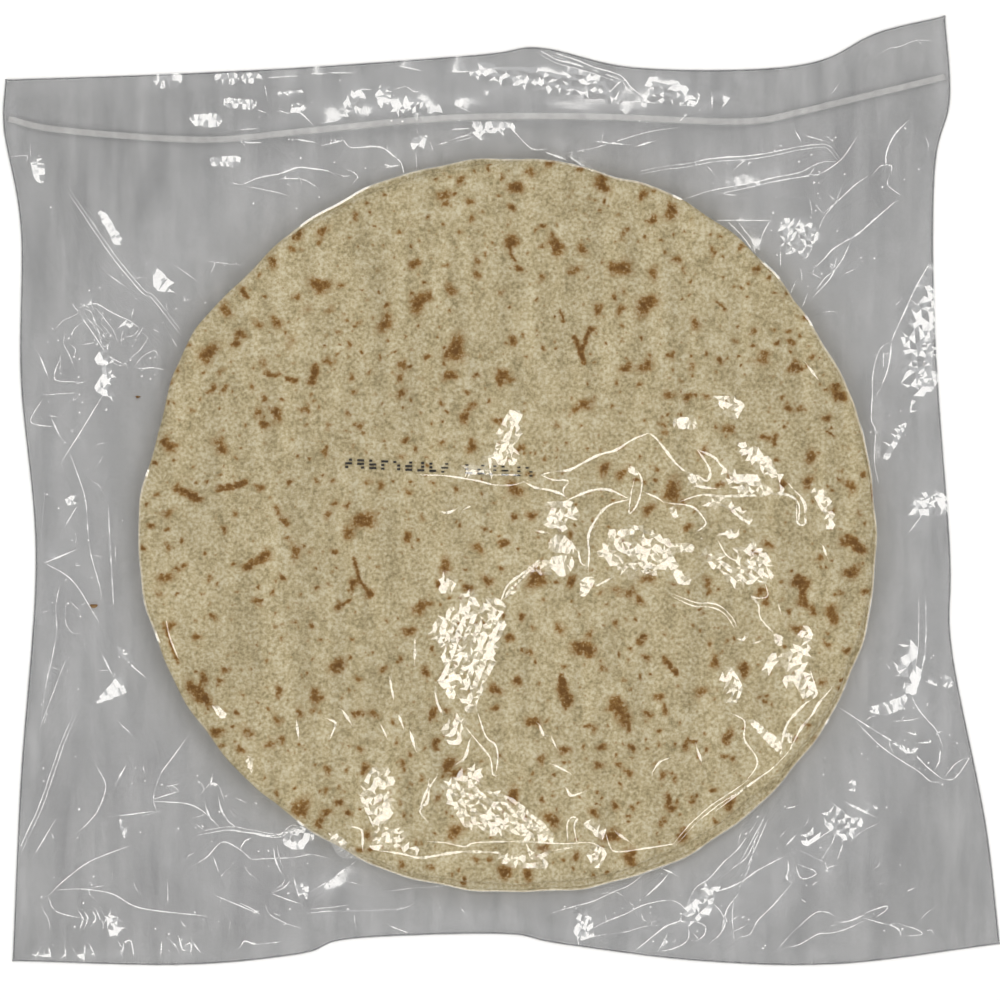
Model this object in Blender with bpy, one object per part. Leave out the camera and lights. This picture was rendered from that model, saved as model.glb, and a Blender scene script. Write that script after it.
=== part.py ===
"""Three thin round pizza crusts sealed in a clear press-to-close bag that lies flat.

The bag and what it holds are one solid: a thin wavy slab out to the bag's edge, with the
round stack of crusts standing up in it. Its top is a mesh over named feature lines (the
bag's edge, the crusts' rims, the seat of the closure and the main creases), and each point
of it gets its height from the functions below. The closure strip is a second solid.
+Y is towards the bag's mouth. Sizes are in millimetres, and the mesh is in metres.
"""

import math

import bmesh
import bpy
import numpy as np
from mathutils import Vector
from mathutils.geometry import delaunay_2d_cdt

MM = 0.001

# Crusts: each one lies slipped a little from the one above it, towards the lower right.
CRUST_COUNT = 3
CRUST_RADIUS = 151.5
CRUST_THICKNESS = 3.0
CRUST_CENTRE = (3.1, -14.0)
CRUST_SLIP = (1.6, -1.9)
CRUST_SWELL = 0.45
RIM_DROP = 1.5
RIM_POINTS = 96
# The hand-stretched rim of the top crust: angle in degrees, and how far it is out or in.
RIM_WAVE = (
    (8, 0.2), (23, 1.5), (33, -0.4), (50, 0.7), (66, 2.3), (75, -1.4),
    (83, 1.2), (97, -3.2), (105, -1.8), (112, -3.2), (125, -1.3), (137, -2.1),
    (152, 1.2), (163, -1.0), (190, 2.1), (212, 1.0), (235, -0.2), (255, -0.4),
    (270, -1.9), (285, -0.2), (300, -0.2), (330, 1.4), (350, 1.2),
)
RIM_TURN = 137

# Bag: its four sides, each a smooth curve through the points that its shape needs.
MOUTH_SIDE = (
    (-206.9, 171.1), (-146.5, 173.1), (-84.0, 176.1), (-9.0, 181.5), (16.0, 184.4),
    (52.3, 176.5), (99.4, 175.2), (132.3, 179.0), (156.1, 190.6), (184.8, 197.7),
)
RIGHT_SIDE = (
    (184.8, 197.7), (186.9, 162.7), (180.6, 133.5), (180.6, 66.9), (186.9, -24.8),
    (187.7, -66.5), (201.5, -137.3), (207.7, -189.4),
)
BOTTOM_SIDE = (
    (207.7, -189.4), (141.0, -197.7), (82.7, -196.5), (24.4, -189.4), (-0.6, -185.2),
    (-63.1, -187.3), (-84.0, -193.6), (-134.0, -198.1), (-204.0, -196.5),
)
LEFT_SIDE = (
    (-204.0, -196.5), (-200.6, -120.6), (-194.4, -29.0), (-200.6, 46.0),
    (-200.6, 108.6), (-207.7, 150.2), (-206.9, 171.1),
)
EDGE_STEP = 7.0
EDGE_HEIGHT = 1.6
SHOULDER_HEIGHT = 2.5
SHOULDER_RUN = 20.0
MARGIN_SWELL = 0.9
HEM_WAVE = 0.3
FILLER_SPACING = 13.0
FEATURE_CLEARANCE = 3.5

# Closure: a flat seat across the bag, and the strip with its two ridges on it.
ZIP_LINE = (
    (-206.9, 155.2), (-184.0, 150.2), (-125.6, 146.1), (-84.0, 149.4), (-42.3, 153.6),
    (-9.0, 155.6), (41.0, 155.6), (99.4, 153.6), (124.4, 157.7), (145.2, 162.7),
    (184.8, 172.3),
)
ZIP_STEP = 8.0
ZIP_SEAT_HALF_WIDTH = 5.0
ZIP_SEAT_HEIGHT = 2.4
ZIP_SEAT_EASE = 6.0
ZIP_END_INSET = 3.0
ZIP_BASE_WIDTH = 7.0
ZIP_BASE_THICKNESS = 0.6
ZIP_RIDGE_WIDTH = 1.1
ZIP_RIDGE_HEIGHT = 1.2
ZIP_RIDGE_SPACING = 2.3
GAP = 0.3

# Main creases of the film: the route of each ridge on top of the bag.
CREASE_HEIGHT = 1.3
CREASE_HALF_WIDTH = 4.0
CREASES = (
    ((-21.5, -150.0), (-14.0, -110.0), (-9.0, -62.3), (20.2, -12.3), (3.5, 29.4)),
    ((20.2, -12.3), (57.7, 16.9), (78.5, 25.2), (99.4, 4.4), (133.0, -10.0)),
    ((-133.0, 118.0), (-110.2, 126.9), (-83.5, 134.4), (-66.0, 131.5)),
    ((80.0, 124.0), (110.0, 130.5), (139.4, 137.5)),
    ((125.1, 79.5), (142.3, 104.0), (162.3, 119.4)),
    ((168.0, 14.0), (163.0, 45.6), (170.0, 74.4)),
    ((-183.0, 66.0), (-165.0, 70.0), (-152.0, 48.0)),
    ((-184.0, -130.0), (-144.4, -133.8), (-116.6, -141.5), (-88.0, -151.0)),
    ((60.8, -186.0), (80.0, -173.0), (101.3, -153.8)),
    ((130.0, -180.0), (150.0, -150.0), (178.0, -120.0)),
)


def clear_scene():
    """Remove every object that the scene starts with."""
    for obj in list(bpy.data.objects):
        bpy.data.objects.remove(obj)


def smooth_curve(points, step):
    """Catmull-Rom curve through the points, sampled about every step, ends included."""
    knots = np.array(points, dtype=float)
    knots = np.vstack((2 * knots[0] - knots[1], knots, 2 * knots[-1] - knots[-2]))
    samples = []
    for before, start, end, after in zip(knots, knots[1:], knots[2:], knots[3:]):
        count = max(2, math.ceil(np.linalg.norm(end - start) / step))
        t = (np.arange(count) / count)[:, None]
        samples.append(
            0.5
            * (
                2 * start
                + (end - before) * t
                + (2 * before - 5 * start + 4 * end - after) * t**2
                + (3 * start - before - 3 * end + after) * t**3
            )
        )
    return np.vstack([*samples, knots[-2]])


def bag_edge():
    """The closed outline of the bag, anticlockwise, without a repeated corner."""
    sides = (MOUTH_SIDE, RIGHT_SIDE, BOTTOM_SIDE, LEFT_SIDE)
    clockwise = np.vstack([smooth_curve(side, EDGE_STEP)[:-1] for side in sides])
    return clockwise[::-1]


def crust_centre(layer):
    """Centre of a crust, where layer 0 is the top one."""
    return np.array(CRUST_CENTRE) + layer * np.array(CRUST_SLIP)


def rim_radius(angle, layer):
    """Radius of a crust at each angle: the mean radius and the wave of its rim.

    The crusts below are turned copies of the top one, with half its wave.
    """
    turned = np.degrees(angle) - RIM_TURN * layer
    stations, swings = np.array(RIM_WAVE, dtype=float).T
    swing = np.interp(turned % 360, stations, swings, period=360)
    return CRUST_RADIUS + swing / (1 if layer == 0 else 2)


def rim_loop(layer, beyond):
    """Points round a crust, at a distance beyond its rim."""
    angle = np.arange(RIM_POINTS) * math.tau / RIM_POINTS
    radius = rim_radius(angle, layer) + beyond
    return crust_centre(layer) + radius[:, None] * np.column_stack(
        (np.cos(angle), np.sin(angle))
    )


def beyond_rim(points, layer):
    """How far each point lies outside a crust's rim, below zero inside it."""
    away = points - crust_centre(layer)
    angle = np.arctan2(away[:, 1], away[:, 0])
    return np.linalg.norm(away, axis=1) - rim_radius(angle, layer)


def distance_to_route(points, route):
    """Shortest distance from each point to a route of straight runs."""
    nearest = np.full(len(points), np.inf)
    for start, end in zip(route, route[1:]):
        run = end - start
        share = np.clip((points - start) @ run / (run @ run), 0, 1)
        foot = start + share[:, None] * run
        nearest = np.minimum(nearest, np.linalg.norm(points - foot, axis=1))
    return nearest


def ripple(points, wavelength, seed):
    """Gentle unevenness from -1 to 1: the mean of crossing sine waves, seeded."""
    random = np.random.default_rng(seed)
    wave_count = 7
    total = np.zeros(len(points))
    for _ in range(wave_count):
        heading, phase = random.uniform(0, math.tau, 2)
        across = points @ (math.cos(heading), math.sin(heading))
        length = wavelength * random.uniform(0.7, 1.6)
        total += np.sin(across * math.tau / length + phase)
    return total / math.sqrt(2 * wave_count)


def stack_height(points):
    """Top of the highest crust under each point, with a steep fall at each rim."""
    height = np.zeros(len(points))
    for layer in range(CRUST_COUNT):
        top = (CRUST_COUNT - layer) * CRUST_THICKNESS
        top = top + CRUST_SWELL * ripple(points, 60, 11 + layer) * (layer == 0)
        fall = np.clip(beyond_rim(points, layer) / RIM_DROP, 0, 1)
        height = np.maximum(height, top * (1 - fall))
    return height


def margin_height(points, edge):
    """Height of the loose film round the crusts.

    It falls from the shoulder beside the stack to the edge of the bag, and it swells and
    dips between them.
    """
    beyond = np.min([beyond_rim(points, layer) for layer in range(CRUST_COUNT)], axis=0)
    inside = distance_to_route(points, np.vstack((edge, edge[:1])))
    shoulder = (SHOULDER_HEIGHT - EDGE_HEIGHT) * np.exp(
        -np.maximum(beyond, 0) / SHOULDER_RUN
    )
    loose = np.clip(inside / 10, 0, 1) * np.clip(beyond / 6, 0, 1)
    swell = MARGIN_SWELL * (1 + ripple(points, 45, 5)) * loose
    hem = HEM_WAVE * ripple(points, 30, 8)
    return EDGE_HEIGHT + shoulder * np.clip(inside / 20, 0, 1) + swell + hem


def crease_height(points, creases):
    """Height that the creases add: a tent along each ridge."""
    added = np.zeros(len(points))
    for crease in creases:
        share = 1 - distance_to_route(points, crease) / CREASE_HALF_WIDTH
        added = np.maximum(added, CREASE_HEIGHT * np.clip(share, 0, 1))
    return added


def bag_height(points, edge, zip_line, creases):
    """Height of the bag's top: film or crust, the creases, and the closure's flat seat."""
    height = np.maximum(stack_height(points), margin_height(points, edge))
    height += crease_height(points, creases)
    from_seat = distance_to_route(points, zip_line) - ZIP_SEAT_HALF_WIDTH
    ease = np.clip(from_seat / ZIP_SEAT_EASE, 0, 1)
    return ZIP_SEAT_HEIGHT + (height - ZIP_SEAT_HEIGHT) * ease


def offset_route(route, offset):
    """The route moved sideways by offset, to its left where offset is above zero."""
    ahead = np.gradient(route, axis=0)
    ahead /= np.linalg.norm(ahead, axis=1)[:, None]
    return route + offset * np.column_stack((-ahead[:, 1], ahead[:, 0]))


def inside_edge(points, edge):
    """Which points lie inside the bag's outline, by counting crossings of a ray."""
    inside = np.zeros(len(points), dtype=bool)
    for (x0, y0), (x1, y1) in zip(edge, np.roll(edge, -1, axis=0)):
        spans = (y0 > points[:, 1]) != (y1 > points[:, 1])
        rise = y1 - y0 if y1 != y0 else 1.0
        crossing = x0 + (points[:, 1] - y0) * (x1 - x0) / rise
        inside ^= spans & (points[:, 0] < crossing)
    return inside


def filler_points(edge, features):
    """Staggered points that fill the bag between its feature lines."""
    columns = np.arange(-230, 230, FILLER_SPACING)
    rows = np.arange(-220, 220, FILLER_SPACING * math.sqrt(3) / 2)
    grid_x, grid_y = np.meshgrid(columns, rows)
    grid_x[1::2] += FILLER_SPACING / 2
    points = np.column_stack((grid_x.ravel(), grid_y.ravel()))
    keep = inside_edge(points, edge)
    for route in (np.vstack((edge, edge[:1])), *features):
        keep &= distance_to_route(points, route) > FEATURE_CLEARANCE
    return points[keep]


def build_top(edge, zip_line, creases):
    """(points, triangles) of the bag's top: a Delaunay mesh that keeps every feature line."""
    routes = []
    for layer in range(CRUST_COUNT):
        for beyond in (0.0, RIM_DROP):
            loop = rim_loop(layer, beyond)
            routes.append(np.vstack((loop, loop[:1])))
    for offset in (-1, 1):
        routes.append(offset_route(zip_line, offset * ZIP_SEAT_HALF_WIDTH))
    for crease in creases:
        routes.append(crease)
        for offset in (-1, 1):
            routes.append(offset_route(crease, offset * CREASE_HALF_WIDTH))
    routes = [route[inside_edge(route, edge)] for route in routes]

    points = [edge]
    links = []
    start = len(edge)
    for route in routes:
        points.append(route)
        links += [(start + index, start + index + 1) for index in range(len(route) - 1)]
        start += len(route)
    points.append(filler_points(edge, routes))
    flat = [Vector(point) for point in np.vstack(points)]
    hem = [list(range(len(edge)))]
    placed, _, triangles, *_ = delaunay_2d_cdt(flat, links, hem, 1, 0.05)
    placed = np.array([tuple(point) for point in placed])
    heights = bag_height(placed, edge, zip_line, creases)
    return np.column_stack((placed, heights)), triangles


def add_object(name, bm, colour, roughness):
    """Link a finished bmesh, in millimetres, as an object in metres with its material."""
    bmesh.ops.recalc_face_normals(bm, faces=bm.faces)
    mesh = bpy.data.meshes.new(name)
    bm.to_mesh(mesh)
    bm.free()
    mesh.shade_smooth()
    mesh.set_sharp_from_angle(angle=math.radians(35))
    material = bpy.data.materials.new(name)
    material.use_nodes = True
    shader = material.node_tree.nodes["Principled BSDF"]
    shader.inputs["Base Color"].default_value = (*colour, 1)
    shader.inputs["Roughness"].default_value = roughness
    shader.inputs["Metallic"].default_value = 0
    mesh.materials.append(material)
    obj = bpy.data.objects.new(name, mesh)
    bpy.context.scene.collection.objects.link(obj)
    return obj


def to_frame(points, centre):
    """Points in millimetres moved so that the bag's box is centred, in metres."""
    return (points - np.array((*centre, 0))) * MM


def build_bag(edge, zip_line, centre):
    """The filled bag: its shaped top, a thin wall round the edge and a flat underside."""
    creases = [smooth_curve(route, 14.0) for route in CREASES]
    points, triangles = build_top(edge, zip_line, creases)
    bm = bmesh.new()
    verts = [bm.verts.new(point) for point in to_frame(points, centre)]
    for corners in triangles:
        bm.faces.new([verts[corner] for corner in corners])
    hem = [side for side in bm.edges if side.is_boundary]
    wall = bmesh.ops.extrude_edge_only(bm, edges=hem)["geom"]
    for vert in (item for item in wall if isinstance(item, bmesh.types.BMVert)):
        vert.co.z = 0
    foot = [item for item in wall if isinstance(item, bmesh.types.BMEdge) and item.is_boundary]
    bmesh.ops.contextual_create(bm, geom=foot)
    return add_object("bag", bm, (0.62, 0.55, 0.38), 0.35)


def zip_profile():
    """Section of the closure strip, across and up: a flat base and two square ridges."""
    half_base = ZIP_BASE_WIDTH / 2
    top = ZIP_BASE_THICKNESS + ZIP_RIDGE_HEIGHT
    section = [(-half_base, 0), (half_base, 0), (half_base, ZIP_BASE_THICKNESS)]
    for middle in (ZIP_RIDGE_SPACING / 2, -ZIP_RIDGE_SPACING / 2):
        right = middle + ZIP_RIDGE_WIDTH / 2
        left = middle - ZIP_RIDGE_WIDTH / 2
        section += [
            (right, ZIP_BASE_THICKNESS), (right, top), (left, top), (left, ZIP_BASE_THICKNESS)
        ]
    return section + [(-half_base, ZIP_BASE_THICKNESS)]


def build_zip_strip(edge, zip_line, centre):
    """The closure strip, swept along its line a gap above the seat in the bag."""
    hem = np.vstack((edge, edge[:1]))
    inside = inside_edge(zip_line, edge)
    inside &= distance_to_route(zip_line, hem) > ZIP_END_INSET
    route = zip_line[inside]
    section = zip_profile()
    bm = bmesh.new()
    rings = []
    for across, up in section:
        level = np.full((len(route), 1), ZIP_SEAT_HEIGHT + GAP + up)
        line = np.hstack((offset_route(route, across), level))
        rings.append([bm.verts.new(point) for point in to_frame(line, centre)])
    for line, following in zip(rings, rings[1:] + rings[:1]):
        for index in range(len(route) - 1):
            bm.faces.new((line[index], line[index + 1], following[index + 1], following[index]))
    for end in (0, -1):
        bm.faces.new([line[end] for line in rings])
    return add_object("zip_strip", bm, (0.80, 0.81, 0.82), 0.3)


def main():
    """Build the filled bag and its closure strip."""
    clear_scene()
    edge = bag_edge()
    centre = (edge.min(axis=0) + edge.max(axis=0)) / 2
    zip_line = smooth_curve(ZIP_LINE, ZIP_STEP)
    build_bag(edge, zip_line, centre)
    build_zip_strip(edge, zip_line, centre)


main()
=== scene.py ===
"""Looks of three thin pizza crusts sealed in a clear press-to-close bag that lies flat.

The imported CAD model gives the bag's outline. In its place come the film of the bag with its
folds and crumples, the closure, the ink row, the crumbs and the three baked crusts. Places
that were measured in the view from above are in thousandths of the view's side, and
from_view() turns them to millimetres on the bag. Places are arrays whose last axis holds x
and y. Sizes are in millimetres and meshes in metres. +Y is towards the bag's mouth.
"""

from __future__ import annotations

import logging
import math
from collections.abc import Callable, Sequence
from dataclasses import dataclass, field
from enum import Enum
from functools import partial

import bpy
import numpy as np
from bpy.types import Material, Node, NodeSocket, NodeTree
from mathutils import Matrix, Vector
from mathutils.geometry import delaunay_2d_cdt


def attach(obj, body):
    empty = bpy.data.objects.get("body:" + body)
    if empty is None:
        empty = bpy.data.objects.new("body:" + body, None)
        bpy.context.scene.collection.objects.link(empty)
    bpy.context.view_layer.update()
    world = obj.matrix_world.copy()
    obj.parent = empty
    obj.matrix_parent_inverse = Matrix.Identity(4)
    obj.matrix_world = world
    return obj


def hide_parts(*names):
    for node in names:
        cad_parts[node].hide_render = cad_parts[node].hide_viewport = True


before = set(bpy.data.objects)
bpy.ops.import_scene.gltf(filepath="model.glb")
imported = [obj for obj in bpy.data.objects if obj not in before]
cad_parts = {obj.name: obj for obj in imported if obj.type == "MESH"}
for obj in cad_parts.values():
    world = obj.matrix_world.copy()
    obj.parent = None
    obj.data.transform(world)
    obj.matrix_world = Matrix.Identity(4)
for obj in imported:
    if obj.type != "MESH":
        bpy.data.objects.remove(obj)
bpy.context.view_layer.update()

LOG = logging.getLogger("bagged_crusts")
Array = np.ndarray
Piece = bpy.types.Object
Random = np.random.Generator
Faces = list[Sequence[int]]
Route = tuple[float, ...]

MM = 0.001
BODY = "root"

# The view from above: its side is 1000 units, and one unit is this long on the bag.
VIEW_UNIT = 0.4167
VIEW_CENTRE = (501.5, 490.5)
# Between the rows of a staggered lattice: the height of an equal-sided triangle.
ROW_PITCH = 0.866
# A corner is joined with one that is this near.
MERGE_GAP = 1e-4


# Places, routes and outlines -------------------------------------------------


def from_view(places: Sequence[float]) -> Array:
    """Turn places in the view to places on the bag.

    Formula: offset from the view's centre times the unit, with rows turned upwards.

    Args:
        places: column and row of each place in turn, in view units.

    Returns:
        (n, 2) places.
    """
    pairs = np.array(places, dtype=float).reshape(-1, 2)
    return (pairs - VIEW_CENTRE) * (VIEW_UNIT, -VIEW_UNIT)


def circle(count: int) -> Array:
    """Angles in radians of evenly spaced points round a circle."""
    return np.linspace(0, math.tau, count, endpoint=False)


def compass(angle: Array | float) -> Array:
    """Unit vectors at angles in radians."""
    return np.stack((np.cos(angle), np.sin(angle)), axis=-1)


def passed(route: Array) -> Array:
    """Length passed along a route at each of its points."""
    return np.concatenate(([0.0], np.cumsum(np.linalg.norm(np.diff(route, axis=0), axis=1))))


def directions(route: Array) -> tuple[Array, Array]:
    """Unit vectors ahead along a route and to its left, at each of its points."""
    ahead = np.gradient(route, axis=0)
    ahead /= np.linalg.norm(ahead, axis=1)[:, None]
    return ahead, np.column_stack((-ahead[:, 1], ahead[:, 0]))


def smooth_route(points: Array, step: float) -> Array:
    """Catmull-Rom curve through the points.

    Formula: each run between two points is the cubic whose end tangents are half the
    chords between the neighbours on either side.

    Args:
        points: (n, 2) places to pass through.
        step: spacing of the samples.

    Returns:
        (m, 2) samples, with both ends included.
    """
    knots = np.vstack((2 * points[0] - points[1], points, 2 * points[-1] - points[-2]))
    runs = []
    for before, start, end, after in zip(knots, knots[1:], knots[2:], knots[3:]):
        count = max(2, math.ceil(float(np.linalg.norm(end - start)) / step))
        t = (np.arange(count) / count)[:, None]
        square = 2 * before - 5 * start + 4 * end - after
        cube = 3 * start - before - 3 * end + after
        runs.append(0.5 * (2 * start + (end - before) * t + square * t**2 + cube * t**3))
    return np.vstack((*runs, knots[-2]))


def even_samples(route: Array, count: int) -> Array:
    """Points evenly spaced by length along a route of straight runs.

    Args:
        route: (n, 2) corners of the route.
        count: number of points, ends included.

    Returns:
        (count, 2) places.
    """
    reached = passed(route)
    wanted = np.linspace(0.0, reached[-1], count)
    return np.column_stack([np.interp(wanted, reached, route[:, axis]) for axis in (0, 1)])


def offsets_from(places: Array, route: Array) -> tuple[Array, Array, Array]:
    """Where each place lies beside a route.

    Formula: for every run, the foot of the perpendicular is clipped to the run, and the
    nearest run gives the distance, the side and the length passed.

    Args:
        places: (..., 2) places.
        route: (n, 2) corners of the route.

    Returns:
        Distance, side (1 on the left, -1 on the right) and length along the route.
    """
    x, y = np.moveaxis(places, -1, 0)
    nearest = np.full(x.shape, np.inf)
    side = np.zeros(x.shape)
    along = np.zeros(x.shape)
    for start, run, reached in zip(route, np.diff(route, axis=0), passed(route)):
        length = float(np.hypot(*run))
        if length < MERGE_GAP:
            continue
        dx, dy = x - start[0], y - start[1]
        share = np.clip((dx * run[0] + dy * run[1]) / length**2, 0, 1)
        gap = np.hypot(dx - share * run[0], dy - share * run[1])
        nearer = gap < nearest
        nearest = np.where(nearer, gap, nearest)
        side = np.where(nearer, np.where(run[0] * dy >= run[1] * dx, 1.0, -1.0), side)
        along = np.where(nearer, reached + share * length, along)
    return nearest, side, along


def inside_outline(places: Array, outline: Array) -> Array:
    """Which places lie inside a closed outline, by counting how often a ray crosses it.

    Args:
        places: (..., 2) places.
        outline: (n, 2) corners, without a repeated one.

    Returns:
        Booleans, one for each place.
    """
    x, y = np.moveaxis(places, -1, 0)
    inside = np.zeros(x.shape, dtype=bool)
    for (x0, y0), (x1, y1) in zip(outline, np.roll(outline, -1, axis=0)):
        spans = (y0 > y) != (y1 > y)
        rise = y1 - y0 if y1 != y0 else 1.0
        inside ^= spans & (x < x0 + (y - y0) * (x1 - x0) / rise)
    return inside


def ease(value: Array, start: float, end: float) -> Array:
    """Smooth step from 0 at start to 1 at end: 3 t squared less 2 t cubed."""
    t = np.clip((value - start) / (end - start), 0, 1)
    return t * t * (3 - 2 * t)


def ripple(places: Array, wavelength: float, seed: int) -> Array:
    """Gentle unevenness of about -1 to 1: the scaled sum of seven crossing sine waves.

    Args:
        places: (..., 2) places.
        wavelength: middle length of the waves.
        seed: picks the waves.

    Returns:
        Its value at each place.
    """
    random = np.random.default_rng(seed)
    wave_count = 7
    x, y = np.moveaxis(places, -1, 0)
    total = np.zeros(x.shape)
    for _ in range(wave_count):
        heading, phase = random.uniform(0, math.tau, 2)
        length = wavelength * random.uniform(0.7, 1.6)
        across = x * math.cos(heading) + y * math.sin(heading)
        total += np.sin(across * math.tau / length + phase)
    return total / math.sqrt(2 * wave_count)


def staggered(spacing: float, columns: int, rows: float) -> Array:
    """Lattice of equal-sided triangles round the origin.

    Args:
        spacing: side of the triangles.
        columns: places in a row.
        rows: how many rows fill the height, a part of one too.

    Returns:
        (n, 2) places.
    """
    across, up = np.meshgrid(np.arange(columns), np.arange(math.ceil(rows)))
    x = (across + 0.5 * (up % 2) - columns / 2) * spacing
    y = (up - rows / 2) * spacing * ROW_PITCH
    return np.column_stack((x.ravel(), y.ravel()))


def clear_of(places: Array, taken: Array, gap: float) -> Array:
    """Which places are clear of those already taken.

    Formula: the bag is divided into square cells as wide as the gap, each taken place
    marks its cell and the eight round it, and a place is clear where its cell is unmarked.

    Args:
        places: (n, 2) places.
        taken: (m, 2) places.
        gap: smallest distance kept between them.

    Returns:
        Booleans, one for each place.
    """
    reach = 300.0
    marked = np.zeros((int(2 * reach / gap) + 2,) * 2, dtype=bool)
    across, up = np.floor((taken + reach) / gap).astype(int).T
    for right in (-1, 0, 1):
        for higher in (-1, 0, 1):
            marked[across + right, up + higher] = True
    across, up = np.floor((places + reach) / gap).astype(int).T
    return ~marked[across, up]


@dataclass
class Raster:
    """Values on an even raster over the bag.

    Attributes:
        half_width: reach of the raster to each side of the middle.
        half_height: reach up and down.
        step: spacing of the raster.
        columns: x of each column.
        rows: y of each row.
        values: the value at each raster point, by row and column.
    """

    half_width: float = 213.0
    half_height: float = 203.0
    step: float = 1.5
    columns: Array = field(init=False)
    rows: Array = field(init=False)
    values: Array = field(init=False)

    def __post_init__(self) -> None:
        """Lay out the empty raster."""
        self.columns, self.rows = (
            np.arange(-half, half + self.step, self.step)
            for half in (self.half_width, self.half_height)
        )
        self.values = np.zeros((len(self.rows), len(self.columns)))

    def places(self) -> Array:
        """The place of every raster point."""
        return np.stack(np.meshgrid(self.columns, self.rows), axis=-1)

    def sample(self, places: Array) -> Array:
        """Values at any places, by blending the four raster points round each.

        Args:
            places: (..., 2) places.

        Returns:
            The values.
        """
        x, y = np.moveaxis(places, -1, 0)
        column = np.clip((x - self.columns[0]) / self.step, 0, len(self.columns) - 1.001)
        row = np.clip((y - self.rows[0]) / self.step, 0, len(self.rows) - 1.001)
        left, bottom = column.astype(int), row.astype(int)
        tx, ty = column - left, row - bottom
        below, above = (
            self.values[level, left] * (1 - tx) + self.values[level, left + 1] * tx
            for level in (bottom, bottom + 1)
        )
        return below * (1 - ty) + above * ty


# Meshes ----------------------------------------------------------------------


def grid_faces(rows: int, columns: int) -> Array:
    """Quads of a grid whose points run along rows, facing up where rows run in +Y."""
    index = np.arange(rows * columns).reshape(rows, columns)
    quads = (index[:-1, :-1], index[:-1, 1:], index[1:, 1:], index[1:, :-1])
    return np.stack(quads, axis=-1).reshape(-1, 4)


def walls(rings: Array) -> Array:
    """Quads between rings of mesh points, whose numbers stand in the rows of an array."""
    turned = np.roll(rings, -1, axis=1)
    return np.stack((rings[:-1], turned[:-1], turned[1:], rings[1:]), axis=-1).reshape(-1, 4)


def fan(ring: Array, tip: int) -> Faces:
    """Triangles from a tip to each run of a ring of mesh points."""
    return [(tip, start, end) for start, end in zip(ring.tolist(), np.roll(ring, -1).tolist())]


def fill_outline(places: Array, edge_count: int) -> tuple[Array, Faces, list[list[int]]]:
    """Triangles between places inside a closed outline, as even as the places allow.

    Args:
        places: (n, 2) places, those on the outline first and anticlockwise.
        edge_count: how many of them are on the outline.

    Returns:
        The mesh's (m, 2) places, its triangles, and which of the given places each is.
    """
    edge = [list(range(edge_count))]
    placed, _, triangles, kept, *_ = delaunay_2d_cdt(
        [Vector(place) for place in places], [], edge, 1, MERGE_GAP
    )
    return np.array([tuple(place) for place in placed]), [tuple(t) for t in triangles], kept


def sweep(route: Array, section: Array) -> tuple[Array, Faces]:
    """Carry a closed section along a route and close both ends.

    Formula: at each point, the section's first coordinate is laid along the level normal
    of the route and its second one is added to the height.

    Args:
        route: (n, 3) points.
        section: (m, 2) corners across and up, anticlockwise seen along the route.

    Returns:
        Points and faces of the closed bar.
    """
    _, left = directions(route[:, :2])
    rings = np.empty((len(route), len(section), 3))
    rings[:, :, :2] = route[:, None, :2] - left[:, None, :] * section[None, :, :1]
    rings[:, :, 2] = route[:, None, 2] + section[None, :, 1]
    index = np.arange(rings[:, :, 0].size).reshape(rings.shape[:2])
    faces = walls(index)[:, ::-1].tolist() + [index[0].tolist(), index[-1, ::-1].tolist()]
    return rings.reshape(-1, 3), faces


def link_mesh(name: str, points: Array, faces: Array | Faces, material: Material) -> Piece:
    """Link a mesh as an object at the origin.

    Args:
        name: name of the object.
        points: (n, 3) corners.
        faces: corners of each face.
        material: its finish.

    Returns:
        The object.
    """
    mesh = bpy.data.meshes.new(name)
    face_list = faces.tolist() if isinstance(faces, np.ndarray) else faces
    mesh.from_pydata((points * MM).tolist(), [], face_list)
    mesh.materials.append(material)
    linked = bpy.data.objects.new(name, mesh)
    bpy.context.scene.collection.objects.link(linked)
    return linked


def add_piece(
    name: str,
    points: Array,
    faces: Array | Faces,
    material: Material,
    slot: str,
    attributes: dict[str, Array] | None = None,
) -> Piece:
    """Link a smooth-shaded mesh as a finished piece that rides on the body.

    Args:
        name: name of the piece.
        points: (n, 3) corners.
        faces: corners of each face.
        material: its finish.
        slot: the record's material slot; not used.
        attributes: values for each point, by name.

    Returns:
        The object.
    """
    piece = link_mesh(name, points, faces, material)
    mesh = piece.data
    mesh.polygons.foreach_set("use_smooth", np.ones(len(mesh.polygons), dtype=bool))
    for label, values in (attributes or {}).items():
        layer = mesh.attributes.new(label, "FLOAT", "POINT")
        layer.data.foreach_set("value", values.astype(np.float32))
    mesh.update()
    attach(piece, BODY)
    LOG.info("%s: %d faces", name, len(mesh.polygons))
    return piece


# Finishes --------------------------------------------------------------------


def linear(hex_colour: str, share: float = 1.0) -> tuple[float, ...]:
    """Turn an sRGB hex colour to linear red, green, blue and 1.

    Formula: each channel is divided by 12.92 below 0.04045, and above it is shifted by
    0.055, divided by 1.055 and raised to 2.4. All are multiplied by the share.

    Args:
        hex_colour: the colour, with its number sign.
        share: how much of its brightness is kept.

    Returns:
        The four channels.
    """
    channels = (int(hex_colour[i : i + 2], 16) / 255 for i in (1, 3, 5))
    curve = (c / 12.92 if c <= 0.04045 else ((c + 0.055) / 1.055) ** 2.4 for c in channels)
    return (*(share * channel for channel in curve), 1.0)


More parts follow.
